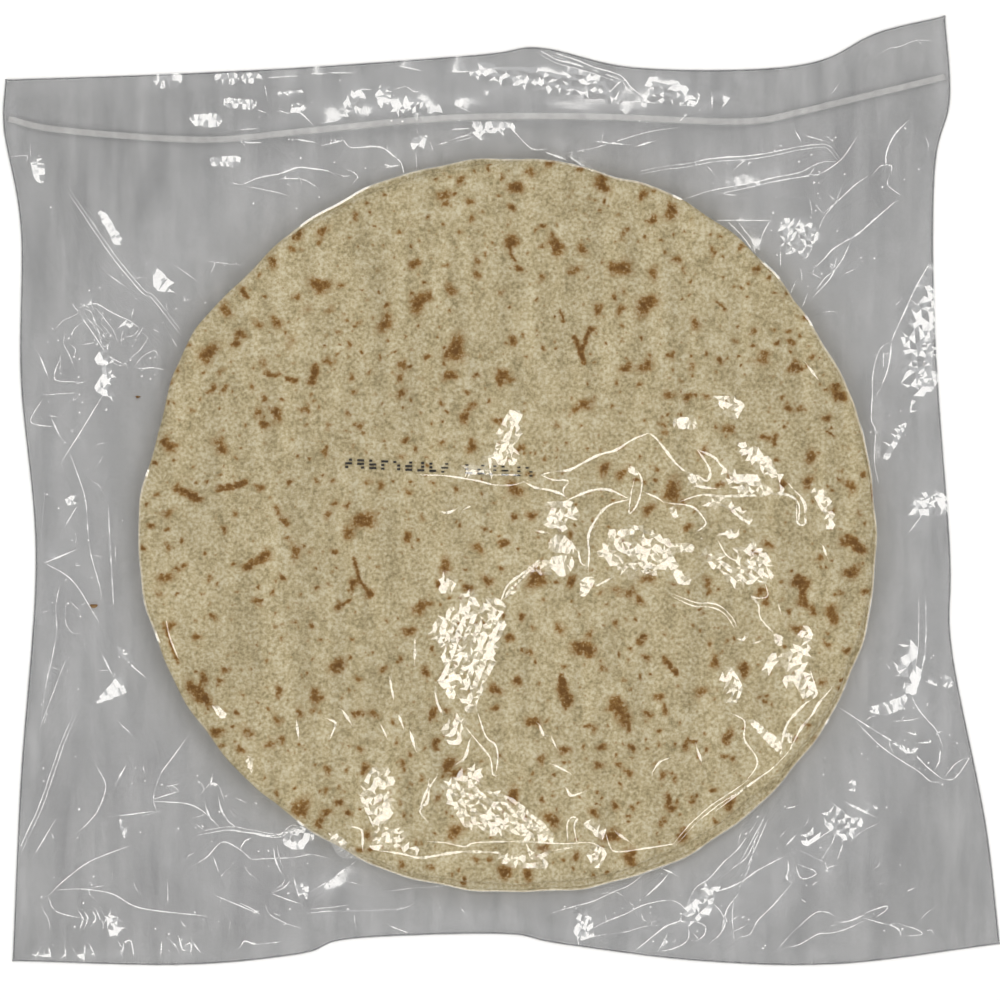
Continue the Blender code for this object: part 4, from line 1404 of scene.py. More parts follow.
CRUMPLES: tuple[Crumple, ...] = (
    # The long crushed fold that runs down the middle of the top crust.
    Crumple((430, 631, 448, 615, 468, 595, 476, 598, 475, 613, 485, 606, 493, 598, 501, 605,
             501, 630, 493, 648, 491, 666, 483, 676, 485, 689, 478, 706, 470, 709, 465, 703,
             461, 676, 452, 674, 452, 701, 442, 676, 447, 666, 442, 646), 1.15),
    Crumple((448, 714, 461, 719, 465, 729, 452, 747, 447, 726), 1.15),
    Crumple((445, 787, 466, 769, 478, 766, 480, 782, 490, 787, 503, 795, 519, 807, 540, 823,
             563, 841, 540, 838, 508, 835, 485, 828, 463, 821, 450, 800), 1.2, heading=-40),
    Crumple((369, 772, 376, 769, 390, 774, 392, 801, 386, 819, 388, 840, 380, 838, 376, 826,
             367, 810, 360, 794, 366, 790), 1.2),
    Crumple((374, 828, 397, 828, 406, 841, 419, 851, 376, 846), 1.15, heading=0),
    Crumple((442, 575, 453, 574, 455, 588, 443, 590), 1.05),
    Crumple((500, 851, 545, 851, 545, 863, 505, 862), 1.05, heading=0),
    Crumple((589, 849, 602, 850, 602, 864, 592, 860), 1.05),
    # The fold that turns off it to the upper right.
    Crumple((508, 413, 519, 412, 516, 433, 513, 448, 516, 463, 486, 463, 495, 443, 506, 422),
            1.15),
    Crumple((465, 468, 490, 470, 490, 476, 466, 475), 0.95, heading=0),
    Crumple((566, 503, 551, 508, 544, 516, 551, 526, 561, 530, 569, 519, 576, 512), 1.15),
    Crumple((533, 566, 549, 562, 546, 574, 536, 574), 1.05),
    Crumple((596, 528, 606, 533, 624, 533, 641, 524, 652, 533, 665, 544, 690, 544, 686, 550,
             668, 548, 690, 592, 680, 580, 664, 558, 657, 574, 622, 574, 616, 559, 596, 551,
             611, 544, 619, 539), 1.3, heading=-30),
    Crumple((609, 560, 630, 558, 657, 562, 652, 575, 622, 572), 1.15, heading=0),
    Crumple((703, 502, 717, 497, 735, 509, 747, 518, 753, 532, 744, 524, 735, 516, 720, 507),
            1.05, heading=-35),
    Crumple((705, 552, 714, 552, 728, 564, 738, 562, 735, 550, 755, 547, 769, 560, 769, 575,
             765, 584, 750, 582, 740, 582, 726, 580, 714, 566), 1.15, heading=-40),
    Crumple((762, 680, 767, 662, 774, 655, 789, 655, 796, 650, 801, 639, 806, 629, 810, 639,
             803, 661, 801, 670, 808, 682, 815, 693, 806, 702, 799, 686, 783, 684, 792, 675,
             789, 664, 774, 661), 1.3, heading=60),
    Crumple((722, 671, 731, 671, 742, 690, 742, 700, 731, 702), 1.15),
    Crumple((805, 486, 816, 499, 821, 506, 822, 522, 828, 532, 830, 501, 824, 493), 1.05),
    Crumple((720, 435, 732, 441, 750, 450, 759, 458, 772, 464, 779, 478, 770, 474, 753, 462,
             735, 448), 1.15, heading=-35, stretch=2.2),
    Crumple((723, 467, 730, 473, 738, 477, 756, 478, 767, 486, 790, 490, 769, 497, 740, 492,
             727, 488, 722, 475), 1.15, heading=-10),
    Crumple((717, 399, 742, 399, 742, 415, 721, 415), 1.15, heading=-20),
    # Loose film round the crusts.
    Crumple((101, 352, 110, 352, 112, 364, 104, 368), 0.95),
    Crumple((119, 318, 132, 323, 138, 330, 126, 328), 0.95, 0.36, heading=-30),
    Crumple((106, 370, 113, 370, 112, 384, 113, 398, 102, 395, 99, 388, 106, 382), 0.95),
    Crumple((349, 94, 360, 96, 358, 120, 344, 118), 1.15),
    Crumple((394, 104, 425, 100, 439, 114, 396, 116), 1.15, heading=80),
    Crumple((469, 66, 500, 68, 530, 70, 580, 74, 600, 82, 618, 99, 583, 95, 558, 91, 530, 87,
             505, 81, 480, 78), 1.3, heading=-10),
    Crumple((650, 80, 672, 84, 686, 92, 696, 106, 658, 104, 650, 95), 1.2, heading=-10),
    Crumple((470, 129, 513, 126, 515, 132, 470, 139), 1.15, heading=0),
    Crumple((780, 222, 812, 226, 820, 236, 804, 259, 782, 250), 1.1, 0.36),
    Crumple((936, 275, 940, 330, 934, 384, 916, 398, 902, 380, 904, 345, 916, 310), 1.3,
            heading=70, stretch=3.5),
    Crumple((949, 495, 930, 493, 912, 501, 906, 510, 930, 511, 949, 510), 1.15, heading=0),
    Crumple((826, 808, 845, 812, 862, 826, 850, 838, 832, 834, 826, 822), 1.0, 0.36, heading=40),
    Crumple((802, 832, 812, 828, 816, 836, 806, 843), 0.95, 0.36, heading=40),
    Crumple((288, 832, 302, 826, 312, 835, 300, 846, 288, 842), 1.15),
    Crumple((579, 912, 591, 914, 590, 934, 578, 936), 1.05),
    Crumple((700, 886, 716, 884, 712, 905, 690, 922, 680, 920), 1.3, heading=45),
    Crumple((104, 914, 118, 920, 122, 932, 112, 930), 0.95, heading=-50),
    Crumple((894, 650, 912, 640, 918, 690, 905, 700), 2.1, 0.2),
)


@dataclass(frozen=True)
class BagOutline:
    """The bag's edge as the CAD part has it: four smooth sides between four corners.

    Attributes:
        bottom: from the lower left corner to the lower right one.
        right: from the lower right corner up.
        top: from the upper left corner to the upper right one.
        left: from the lower left corner up.
    """

    bottom: Array
    right: Array
    top: Array
    left: Array

    @classmethod
    def of_node(cls, node: Piece) -> BagOutline:
        """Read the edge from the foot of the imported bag.

        Formula: the foot's points lie at height zero. They are put in order by their angle
        round the middle, and the corners are where x + y, x - y and so on are largest.

        Args:
            node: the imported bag.

        Returns:
            Its edge.
        """
        points = np.empty(len(node.data.vertices) * 3, dtype=np.float32)
        node.data.vertices.foreach_get("co", points)
        points = points.reshape(-1, 3) / MM
        foot = np.unique(np.round(points[points[:, 2] < 0.01, :2], 3), axis=0).astype(float)
        middle = (foot.min(axis=0) + foot.max(axis=0)) / 2
        loop = foot[np.argsort(np.arctan2(*(foot - middle)[:, ::-1].T))]
        corners = [int(np.argmax(loop @ way)) for way in ((-1, -1), (1, -1), (1, 1), (-1, 1))]
        sides = []
        for start, end in zip(corners, corners[1:] + corners[:1]):
            span = np.arange((end - start) % len(loop) + 1)
            sides.append(smooth_route(loop[(start + span) % len(loop)], 1.0))
        bottom, right, top, left = sides
        return cls(bottom, right, top[::-1], left[::-1])

    def loop(self) -> Array:
        """The whole edge, anticlockwise, without a repeated point."""
        sides = (self.bottom, self.right, self.top[::-1], self.left[::-1])
        return np.vstack([side[:-1] for side in sides])

    def spread(self, columns: int, rows: int) -> Array:
        """A grid over the bag that follows its four sides.

        Formula: the blend of left and right by u, plus the blend of bottom and top by v,
        less the blend of the four corners (a Coons patch).

        Args:
            columns: points across.
            rows: points up.

        Returns:
            (rows, columns, 2) places.
        """
        u = np.linspace(0, 1, columns)[None, :, None]
        v = np.linspace(0, 1, rows)[:, None, None]
        bottom, top = (even_samples(side, columns)[None] for side in (self.bottom, self.top))
        left, right = (even_samples(side, rows)[:, None] for side in (self.left, self.right))
        places = (1 - v) * bottom + v * top + (1 - u) * left + u * right
        places -= (1 - u) * (1 - v) * bottom[:, :1] + u * (1 - v) * bottom[:, -1:]
        places -= (1 - u) * v * top[:, :1] + u * v * top[:, -1:]
        return places


@dataclass
class Crease:
    """One crease of the front sheet.

    Formula: across its route the sheet climbs one face to the crown. Behind it, the sheet
    goes down a second face if the shape has a crown, and otherwise sinks over seven widths.
    A face's slope makes up what the loose sheet lacks of the glint slope there. Its width
    swells and thins along the route and fades at both ends.

    Attributes:
        route: (n, 2) points along the crease.
        shape: its section.
        ground_slope: (n, 2) slope of the loose sheet at those points.
        glint_slope: slope of a face that is turned to the lamps.
        phase: shifts the swelling along the route, in radians.
        scale: (n,) share of the shape's width that the faces have at those points.
        along: length passed at each point.
        left: direction to the left at each point.
        rise: width of the first face at each point.
        fall: width of what lies behind the crown.
        height: height of the crown.
    """

    route: Array
    shape: FoldShape
    ground_slope: Array
    glint_slope: float
    phase: float
    scale: Array
    along: Array = field(init=False)
    left: Array = field(init=False)
    rise: Array = field(init=False)
    fall: Array = field(init=False)
    height: Array = field(init=False)

    def __post_init__(self) -> None:
        """Work out the section at every point of the route."""
        ahead, self.left = directions(self.route)
        self.along = passed(self.route)
        fade = np.maximum(np.sin(math.pi * self.along / self.along[-1]), 0.01) ** 0.4
        swell = 1 + 0.22 * np.sin(self.along * math.tau / 11 + self.phase)
        swell += 0.18 * np.sin(self.along * math.tau / 4.3 + 3 * self.phase)
        width = self.shape.face * fade * swell * self.scale
        across = np.sum(self.ground_slope * self.left, axis=1)
        lengthwise = np.sum(self.ground_slope * ahead, axis=1)
        wanted = np.sqrt(np.maximum(self.glint_slope**2 - lengthwise**2, 0.04))
        if self.shape.crown:
            self.height = wanted * width
            self.rise = self.height / np.clip(wanted - across, 0.12, 0.7)
            self.fall = self.height / np.clip(wanted + across, 0.12, 0.7)
        else:
            self.height = width * np.clip(wanted - across, 0.1, 0.7)
            self.rise = width
            self.fall = np.full_like(width, 7 * self.shape.face)

    def rows(self) -> Array:
        """Where the mesh needs points: along the foot and the top of each face."""
        half = np.full_like(self.rise, self.shape.crown / 2)
        if self.shape.crown:
            shifts = (-half - self.rise, -half, half, half + self.fall)
        else:
            shifts = (-self.rise / 2, self.rise / 2)
        return np.vstack([self.route + shift[:, None] * self.left for shift in shifts])

    def near(self, places: Array) -> Array:
        """Numbers of the places that lie in a box round the crease."""
        reach = 8 * self.shape.face + self.shape.crown
        low, high = self.route.min(axis=0) - reach, self.route.max(axis=0) + reach
        return np.flatnonzero(((places > low) & (places < high)).all(axis=1))

    def lift(self, places: Array) -> Array:
        """How far the crease lifts the sheet.

        Args:
            places: (n, 2) places.

        Returns:
            The lift at each.
        """
        gap, side, along = offsets_from(places, self.route)
        sections = (self.rise, self.fall, self.height)
        rise, fall, height = (np.interp(along, self.along, values) for values in sections)
        half = self.shape.crown / 2
        start, end = (-half, half) if self.shape.crown else (rise / 2, rise / 2)
        climb = np.clip((gap * side - start) / rise + 1, 0, 1)
        drop = np.clip((end - gap * side) / fall + 1, 0, 1)
        return height * np.minimum(climb, drop)


@dataclass
class Film:
    """The bag's two sheets of film, welded at the sides and folded at the bottom.

    Attributes:
        outline: the bag's edge.
        stack: what lies between the sheets.
        edge_height: height of the front sheet's edge.
        edge_slope: how fast the sheet may rise from the bag's edge, as rise over run.
        tent_slope: how fast it falls from the crusts' rims.
        slack: height of loose film far from the crusts.
        blend: how softly the tent and the rise from the edge meet.
        cling: gap between the front sheet and the crusts.
        zip_rise: height of the crown over the closure.
        zip_reach: how far that crown spreads to each side.
        lattice: spacing of the front mesh where it has no folds.
        lattice_side: side of the square over which that mesh is laid out.
        jitter: how uneven it is, as a share of its spacing.
        clearance: gap between its points and those of the folds.
        margins: how far the folds' points and the lattice's stay inside the bag's edge.
        back_grid: rows and columns of the back sheet's mesh.
        glint_slope: slope at which a face is turned to the lamps, as rise over run.
        dimples: how many small dimples lie in the loose film near its creases.
        ticks: how many short faint creases lie there.
        sharp_angle: faces that meet at more than this many degrees meet in a sharp fold.
        edge_gap: how far each place lies inside the bag's edge.
    """

    outline: BagOutline
    stack: CrustStack
    edge_height: float = 0.6
    edge_slope: float = 0.165
    tent_slope: float = 0.14
    slack: float = 2.0
    blend: float = 0.3
    cling: float = 0.4
    zip_rise: float = 0.5
    zip_reach: float = 5.5
    lattice: float = 2.2
    lattice_side: float = 440.0
    jitter: float = 0.12
    clearance: float = 0.75
    margins: tuple[float, float] = (1.2, 1.6)
    back_grid: tuple[int, int] = (190, 200)
    glint_slope: float = 0.365
    dimples: int = 320
    ticks: int = 130
    sharp_angle: float = 7.0
    edge_gap: Raster = field(init=False)

    def __post_init__(self) -> None:
        """Measure how far each place lies inside the bag's edge, on a raster."""
        self.edge_gap = Raster()
        places = self.edge_gap.places()
        loop = self.outline.loop()[::3]
        gap, _, _ = offsets_from(places, np.vstack((loop, loop[:1])))
        self.edge_gap.values = np.where(inside_outline(places, loop), gap, 0.0)

    def ground(self, places: Array) -> Array:
        """Height of the front sheet before its folds.

        Formula: the sheet falls evenly from the top crust's rim down to the slack, held
        under an even rise from the bag's edge; smooth maximum and minimum join the three.
        Ripples of 42, 17 and 8 mm are added, the last drawn out along one direction, then a
        bell over the closure and a ripple of 30 mm on the mouth's side of it. At the
        outermost rim the sheet steps up in 1 mm to the top crust and the cling gap.

        Args:
            places: (..., 2) places.

        Returns:
            Its height at each.
        """
        inside = self.edge_gap.sample(places)
        top = self.stack.crusts[0]
        over = top.top(places) + self.cling
        tent = over - self.tent_slope * np.maximum(top.beyond(places), 0)
        loose = self.blend * np.logaddexp(tent / self.blend, self.slack / self.blend)
        rise = self.edge_height + self.edge_slope * inside
        level = -self.blend * np.logaddexp(-loose / self.blend, -rise / self.blend)
        x, y = np.moveaxis(places, -1, 0)
        drawn = np.stack((0.3 * x + 0.9 * y, 0.25 * (0.9 * x - 0.3 * y)), axis=-1)
        waves = 0.16 * ripple(places, 42, 5) + 0.06 * ripple(places, 17, 6)
        waves += 0.05 * ripple(drawn, 8, 8)
        level += ease(inside, 0, 10) * waves
        gap, side, _ = offsets_from(places, smooth_route(ZIP_LINE, 6.0))
        held = ease(inside, 0, 14)
        level += self.zip_rise * np.exp(-0.5 * (gap / self.zip_reach) ** 2) * held
        mouth = np.clip(np.where(side > 0, gap, 0.0) / 8, 0, 1)
        level += 0.18 * mouth * ripple(places, 30, 9) * held
        level = np.maximum(level, self.edge_height)
        share = np.clip(0.6 - self.stack.beyond(places), 0, 1)
        over = over + 0.05 * ripple(places, 20, 3)
        return np.maximum(level, level * (1 - share) + over * share)

    def ground_slope(self, places: Array) -> Array:
        """Slope of the loose sheet at (n, 2) places, from heights 0.8 mm to each side."""
        steps = 0.8 * np.eye(2)
        rises = [self.ground(places + step) - self.ground(places - step) for step in steps]
        return np.column_stack(rises) / (2 * 0.8)

    def creases(self) -> list[Crease]:
        """Every crease, with a point each 1.2 mm; they are thinner in the loose film."""
        random = np.random.default_rng(7)
        routes = [
            (smooth_route(from_view(places), 1.2), fold)
            for fold, measured in CREASES.items()
            for places in measured
        ]
        routes += [(tick, Fold.HAIR) for tick in self.tick_routes([r for r, _ in routes])]
        found = []
        for route, fold in routes:
            slope = self.ground_slope(route)
            phase = random.uniform(0, math.tau)
            thin = 0.9 - 0.35 * ease(self.stack.beyond(route), -4, 6)
            found.append(Crease(route, fold.value, slope, self.glint_slope, phase, thin))
        return found

    def strewn_beside(
        self,
        routes: list[Array],
        count: int,
        spread: float,
        margins: tuple[float, float],
        random: Random,
    ) -> Array:
        """Places strewn in the loose film beside routes.

        Args:
            routes: (n, 2) points of each route.
            count: how many places.
            spread: how far from a route a place typically lies.
            margins: how far it stays from the crusts and from the bag's edge.
            random: the source of the places.

        Returns:
            (count, 2) places.
        """
        beside = np.vstack(routes)
        places = beside[random.integers(0, len(beside), 6 * count)]
        places = places + random.normal(0, spread, places.shape)
        gaps = np.stack((self.stack.beyond(places), self.edge_gap.sample(places)), axis=-1)
        return places[(gaps > margins).all(axis=1)][:count]

    def tick_routes(self, measured: list[Array]) -> list[Array]:
        """Routes of the ticks: short faint creases strewn beside the measured ones.

        Formula: each starts about 9 mm from a measured crease, heads any way, and bends by
        up to a radian over its 2 to 7 mm.

        Args:
            measured: (n, 2) points of each measured crease.

        Returns:
            (6, 2) points of each tick.
        """
        random = np.random.default_rng(17)
        found = []
        for start in self.strewn_beside(measured, self.ticks, 9, (7, 6), random):
            heading, bend, length = random.uniform((0, -1, 2), (math.tau, 1, 7))
            steps = compass(heading + bend * np.linspace(0, 1, 6)) * length / 6
            found.append(start + np.cumsum(steps, axis=0))
        return found

    def shard_corners(self, corners: Array, random: Random) -> tuple[Array, Array]:
        """Mesh points of a shard, which stands up as a low hipped roof.

        Formula: the sides stay on the sheet, and points along the longest axis are raised
        by the glint slope times their distance from the nearest side, a quarter more or
        less. The sides are ragged by a third of a millimetre.

        Args:
            corners: (n, 2) corners of the shard.
            random: the source of its unevenness.

        Returns:
            (m, 2) places and their m heights over the loose sheet.
        """
        loop = np.vstack((corners, corners[:1]))
        sides = even_samples(loop, math.ceil(passed(loop)[-1] / 1.2) + 4)[:-1]
        middle = corners.mean(axis=0)
        axis = np.linalg.svd(corners - middle)[2][0]
        spine = middle + np.arange(-20, 20, 1.1)[:, None] * axis
        spine = spine[inside_outline(spine, corners)]
        gap, _, _ = offsets_from(spine, loop)
        spine, gap = spine[gap > 0.35], gap[gap > 0.35]
        sides = sides + random.uniform(-0.36, 0.36, sides.shape)
        raised = self.glint_slope * gap * random.uniform(0.75, 1.25, len(gap))
        return np.vstack((sides, spine)), np.concatenate((np.zeros(len(sides)), raised))

    def dimple_corners(
        self, creases: list[Crease], random: Random
    ) -> tuple[Array, Array]:
        """Mesh points of the small dimples strewn beside the creases.

        Formula: each is a pyramid on five corners, whose top is raised by the glint slope
        times its radius.

        Args:
            creases: the creases that they lie near.
            random: the source of their places and sizes.

        Returns:
            (n, 2) places and their n heights over the loose sheet.
        """
        routes = [crease.route for crease in creases]
        middles = self.strewn_beside(routes, self.dimples, 6, (3, 5), random)
        radius = random.uniform(0.25, 0.6, len(middles))
        ring = middles + radius[:, None] * compass(circle(5))[:, None]
        places = np.vstack((middles, ring.reshape(-1, 2)))
        return places, np.concatenate((self.glint_slope * radius, np.zeros(5 * len(middles))))

    def rim_rows(self) -> Array:
        """Mesh points along the outermost rim, where the sheet begins and ends its step."""
        rows = []
        for crust in self.stack.crusts:
            for shift in (-0.4, 0.6):
                row = crust.rim(circle(700), shift)
                rows.append(row[self.stack.beyond(row) > shift - 0.05])
        return np.vstack(rows)

    def front_points(self) -> Array:
        """All points of the front sheet's mesh, the bag's edge first.

        Formula: points that shape something come first, then an even lattice fills the room
        between them. A crease stops at a crumple or shard and lifts only what lies outside
        them.
        """
        random = np.random.default_rng(11)
        patches = [(from_view(c.outline), c.corners(random)) for c in CRUMPLES]
        for places in SHARDS:
            corners = from_view(places)
            patches.append((corners, self.shard_corners(corners, random)))
        edge = self.outline.loop()
        creases = self.creases()
        folds = np.vstack([crease.rows() for crease in creases] + [self.rim_rows()])
        folds = folds[self.edge_gap.sample(folds) > self.margins[0]]
        crushed = np.vstack([places for _, (places, _) in patches])
        crushed_lift = np.concatenate([heights for _, (_, heights) in patches])

        count = math.ceil(self.lattice_side / self.lattice)
        plain = staggered(self.lattice, count, count / ROW_PITCH)
        plain += random.uniform(-self.jitter, self.jitter, plain.shape) * self.lattice
        plain = plain[self.edge_gap.sample(plain) > self.margins[1]]
        pricks, prick_lift = self.dimple_corners(creases, random)
        plain = plain[clear_of(plain, np.vstack((folds, crushed, pricks)), self.clearance)]

        free = np.vstack((folds, plain, pricks))
        lift = np.concatenate((np.zeros(len(folds) + len(plain)), prick_lift))
        for outline, _ in patches:
            outside = ~inside_outline(free, outline)
            free, lift = free[outside], lift[outside]
        for crease in creases:
            near = crease.near(free)
            lift[near] += crease.lift(free[near])
        places = np.vstack((edge, free, crushed))
        lift = np.concatenate((np.zeros(len(edge)), lift, crushed_lift))
        heights = self.ground(places) + lift * ease(self.edge_gap.sample(places), 0, 3)
        return np.column_stack((places, heights))

    def front(self, film: Material) -> Piece:
        """Make the front sheet, of triangles between its points.

        Args:
            film: its finish.

        Returns:
            The piece.
        """
        points = self.front_points()
        places, faces, kept = fill_outline(points[:, :2], len(self.outline.loop()))
        order = np.array([olds[0] if olds else 0 for olds in kept])
        front = add_piece(
            "film_front", np.column_stack((places, points[order, 2])), faces, film, "film"
        )
        front.data.set_sharp_from_angle(angle=math.radians(self.sharp_angle))
        return front

    def back(self, film: Material) -> Piece:
        """Make the back sheet.

        Formula: it lies just over the floor, rises in waves where no crust weighs it down,
        meets the front sheet at the edge, and stays under it everywhere.

        Args:
            film: its finish.

        Returns:
            The piece.
        """
        rows, columns = self.back_grid
        places = self.outline.spread(columns, rows)
        inside = self.edge_gap.sample(places)
        loose = 1 - np.exp(-np.maximum(self.stack.beyond(places), 0) / 8)
        lifted = 0.06 + loose * (0.22 + 0.16 * ripple(places, 24, 15))
        z = lifted + (self.edge_height - 0.15 - lifted) * np.exp(-inside / 3)
        z = np.maximum(np.minimum(z, self.ground(places) - 0.12), 0.03)
        points = np.dstack((places, z)).reshape(-1, 3)
        return add_piece("film_back", points, grid_faces(rows, columns)[:, ::-1], film, "film")

    def build(self, film: Material) -> list[Piece]:
        """Make both sheets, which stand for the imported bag."""
        sheets = [self.front(film), self.back(film)]
        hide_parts("bag")
        return sheets


@dataclass(frozen=True)
class Closure:
    """The press-to-close strip between the sheets: a milky band with a rounded top.

    Attributes:
        film: the front sheet, under which the strip lies.
        width: width of the band.
        height: its height.
        foot: height of its straight sides.
        clearance: gap between its top and the sheet.
        end_inset: how far its ends stay inside the bag's edge.
    """

    film: Film
    width: float = 2.6
    height: float = 0.5
    foot: float = 0.2
    clearance: float = 0.2
    end_inset: float = 1.2

    def build(self, polymer: Material) -> Piece:
        """Make the band.

        Formula: half an ellipse over a flat foot, carried along the closure's line at the
        sheet's height less the band's own and the clearance.

        Args:
            polymer: its finish.

        Returns:
            The piece.
        """
        line = smooth_route(ZIP_LINE, 1.5)
        line = line[self.film.edge_gap.sample(line) > self.end_inset]
        level = np.min([self.film.ground(line + (0, dy)) for dy in (-1, 0, 1)], axis=0)
        half = self.width / 2
        arch = compass(np.linspace(0, math.pi, 11)) * (half, self.height - self.foot)
        profile = np.vstack((arch + (0, self.foot), ((-half, 0.0), (half, 0.0))))
        route = np.column_stack((line, level - self.height - self.clearance))
        band = add_piece("closure_band", *sweep(route, profile), polymer, "zip_strip")
        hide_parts("zip_strip")
        return band


@dataclass(frozen=True)
class EdgeWelds:
    """The bag's rim: melted welds at both sides, the bottom fold and the mouth's hem.

    Attributes:
        film: the sheets that are joined.
        width: width of the flat weld.
        thickness: its thickness.
        inset: gap between the weld and the bag's edge.
        drop: how far its middle lies below the front sheet's edge.
    """

    film: Film
    width: float = 1.1
    thickness: float = 0.12
    inset: float = 0.02
    drop: float = 0.07

    def build(self, film: Material) -> list[Piece]:
        """Make one flat strip with bevelled edges for each side of the bag.

        Args:
            film: its finish.

        Returns:
            The four strips.
        """
        half, high, bevel = self.width / 2, self.thickness / 2, self.thickness / 3
        right = ((half, -high + bevel), (half, high - bevel), (half - bevel, high))
        left = ((-half + bevel, high), (-half, high - bevel), (-half, -high + bevel))
        section = np.array((*right, *left, (-half + bevel, -high), (half - bevel, -high)))
        outline = self.film.outline
        sides = zip(
            ("bottom", "right", "mouth", "left"),
            (outline.bottom, outline.right, outline.top, outline.left),
        )
        pieces = []
        for name, side in sides:
            line = even_samples(side, 260)
            _, inwards = directions(line)
            inwards *= -np.sign(np.sum(line * inwards, axis=1))[:, None]
            line = line + inwards * (half + self.inset)
            level = np.full(len(line), self.film.edge_height - self.drop)
            bar = sweep(np.column_stack((line, level)), section)
            pieces.append(add_piece(f"edge_{name}", *bar, film, "film"))
        return pieces


@dataclass(frozen=True)
class InkRow:
    """A row of small sprayed marks on the front sheet, with no lettering.

    Attributes:
        film: the front sheet, on which the ink lies.
        ends: column and row of the first mark and of the last one, in view units.
        marks: number of places for a mark.
        gap_at: the place that is left bare.
        strokes: width of a stroke before the gap and after it.
        tall: height of a mark.
        wide: width of a mark.
        lift: how far the ink stands off the sheet.
        dash_points: mesh points along each edge of a dash.
    """

    film: Film
    ends: Route = (349, 463.5, 529, 472)
    marks: int = 16
    gap_at: int = 9
    strokes: tuple[float, float] = (0.9, 0.612)
    tall: float = 3.9
    wide: float = 2.9
    lift: float = 0.05
    dash_points: int = 7

    def build(self, ink: Material) -> Piece:
        """Make all the strokes as one piece.

        Formula: each mark is a stack of three level dashes, and a seed makes each of them
        whole, or its left or right half. Each dash is a flat ribbon of 2 by 7 points laid
        on the sheet.

        Args:
            ink: its finish.

        Returns:
            The piece.
        """
        random = np.random.default_rng(12)
        half = self.wide / 2
        spans = ((-half, half), (-half, -0.1 * half), (0.1 * half, half))
        first, last = from_view(self.ends)
        ribbon = grid_faces(self.dash_points, 2)[:, ::-1]
        points, faces = [], []
        for place, share in enumerate(np.linspace(0, 1, self.marks)):
            if place == self.gap_at:
                continue
            middle = first * (1 - share) + last * share
            width = self.strokes[place >= self.gap_at - 1]
            for rung in np.linspace(-0.5, 0.5, 3) * (self.tall - width):
                low, high = spans[random.integers(0, len(spans))]
                across = np.linspace(low, high, self.dash_points)
                flat = np.array([(x, rung + y) for x in across for y in (-width / 2, width / 2)])
                flat += middle
                faces += (ribbon + sum(map(len, points))).tolist()
                points.append(np.column_stack((flat, self.film.ground(flat) + self.lift)))
        return add_piece("ink_row", np.vstack(points), faces, ink, "crust")


@dataclass(frozen=True)
class Crumbs:
    """Loose toasted crumbs caught under the film beside the crusts.

    Attributes:
        places: column, row and length of each, in view units.
        segments: mesh points round each.
        levels: rings of each, between its foot and its crown.
        base: height of its foot.
        tallest: most that half its height may be.
        toast: how far it is baked, from 0 to 1.
    """

    places: tuple[Route, ...] = ((94, 606, 8), (138, 397, 5))
    segments: int = 14
    levels: int = 6
    base: float = 0.32
    tallest: float = 0.55
    toast: float = 0.8

    def build(self, dough: Material) -> list[Piece]:
        """Make each crumb.

        Formula: an ellipsoid half as wide and a third as high as it is long, whose radius
        swings by a sixth in three lobes.

        Args:
            dough: its finish.

        Returns:
            The pieces.
        """
        pieces = []
        turn = circle(self.segments)
        lean = np.linspace(0, math.pi, self.levels + 2)[1:-1, None]
        index = np.arange(self.levels * self.segments).reshape(self.levels, -1)
        foot, crown = index.size, index.size + 1
        faces = walls(index).tolist() + fan(index[0, ::-1], foot) + fan(index[-1], crown)
        for number, (column, row, length) in enumerate(self.places):
            middle = from_view((column, row))[0]
            half = length * VIEW_UNIT / 2
            swing = half * np.sin(lean) * (1 + 0.16 * np.sin(3 * turn + number) * np.sin(lean))
            flat = middle + swing[..., None] * compass(turn) * (1, 0.5)
            high = min(half / 3, self.tallest)
            z = self.base + high * (1 - np.cos(lean)) + 0 * turn
            tips = [(*middle, self.base), (*middle, self.base + 2 * high)]
            points = np.vstack((np.dstack((flat, z)).reshape(-1, 3), tips))
            baked = {"toast": np.full(len(points), self.toast)}
            name = f"crumb_{number + 1}"
            pieces.append(add_piece(name, points, faces, dough, "crust", baked))
        return pieces


# Studio ----------------------------------------------------------------------


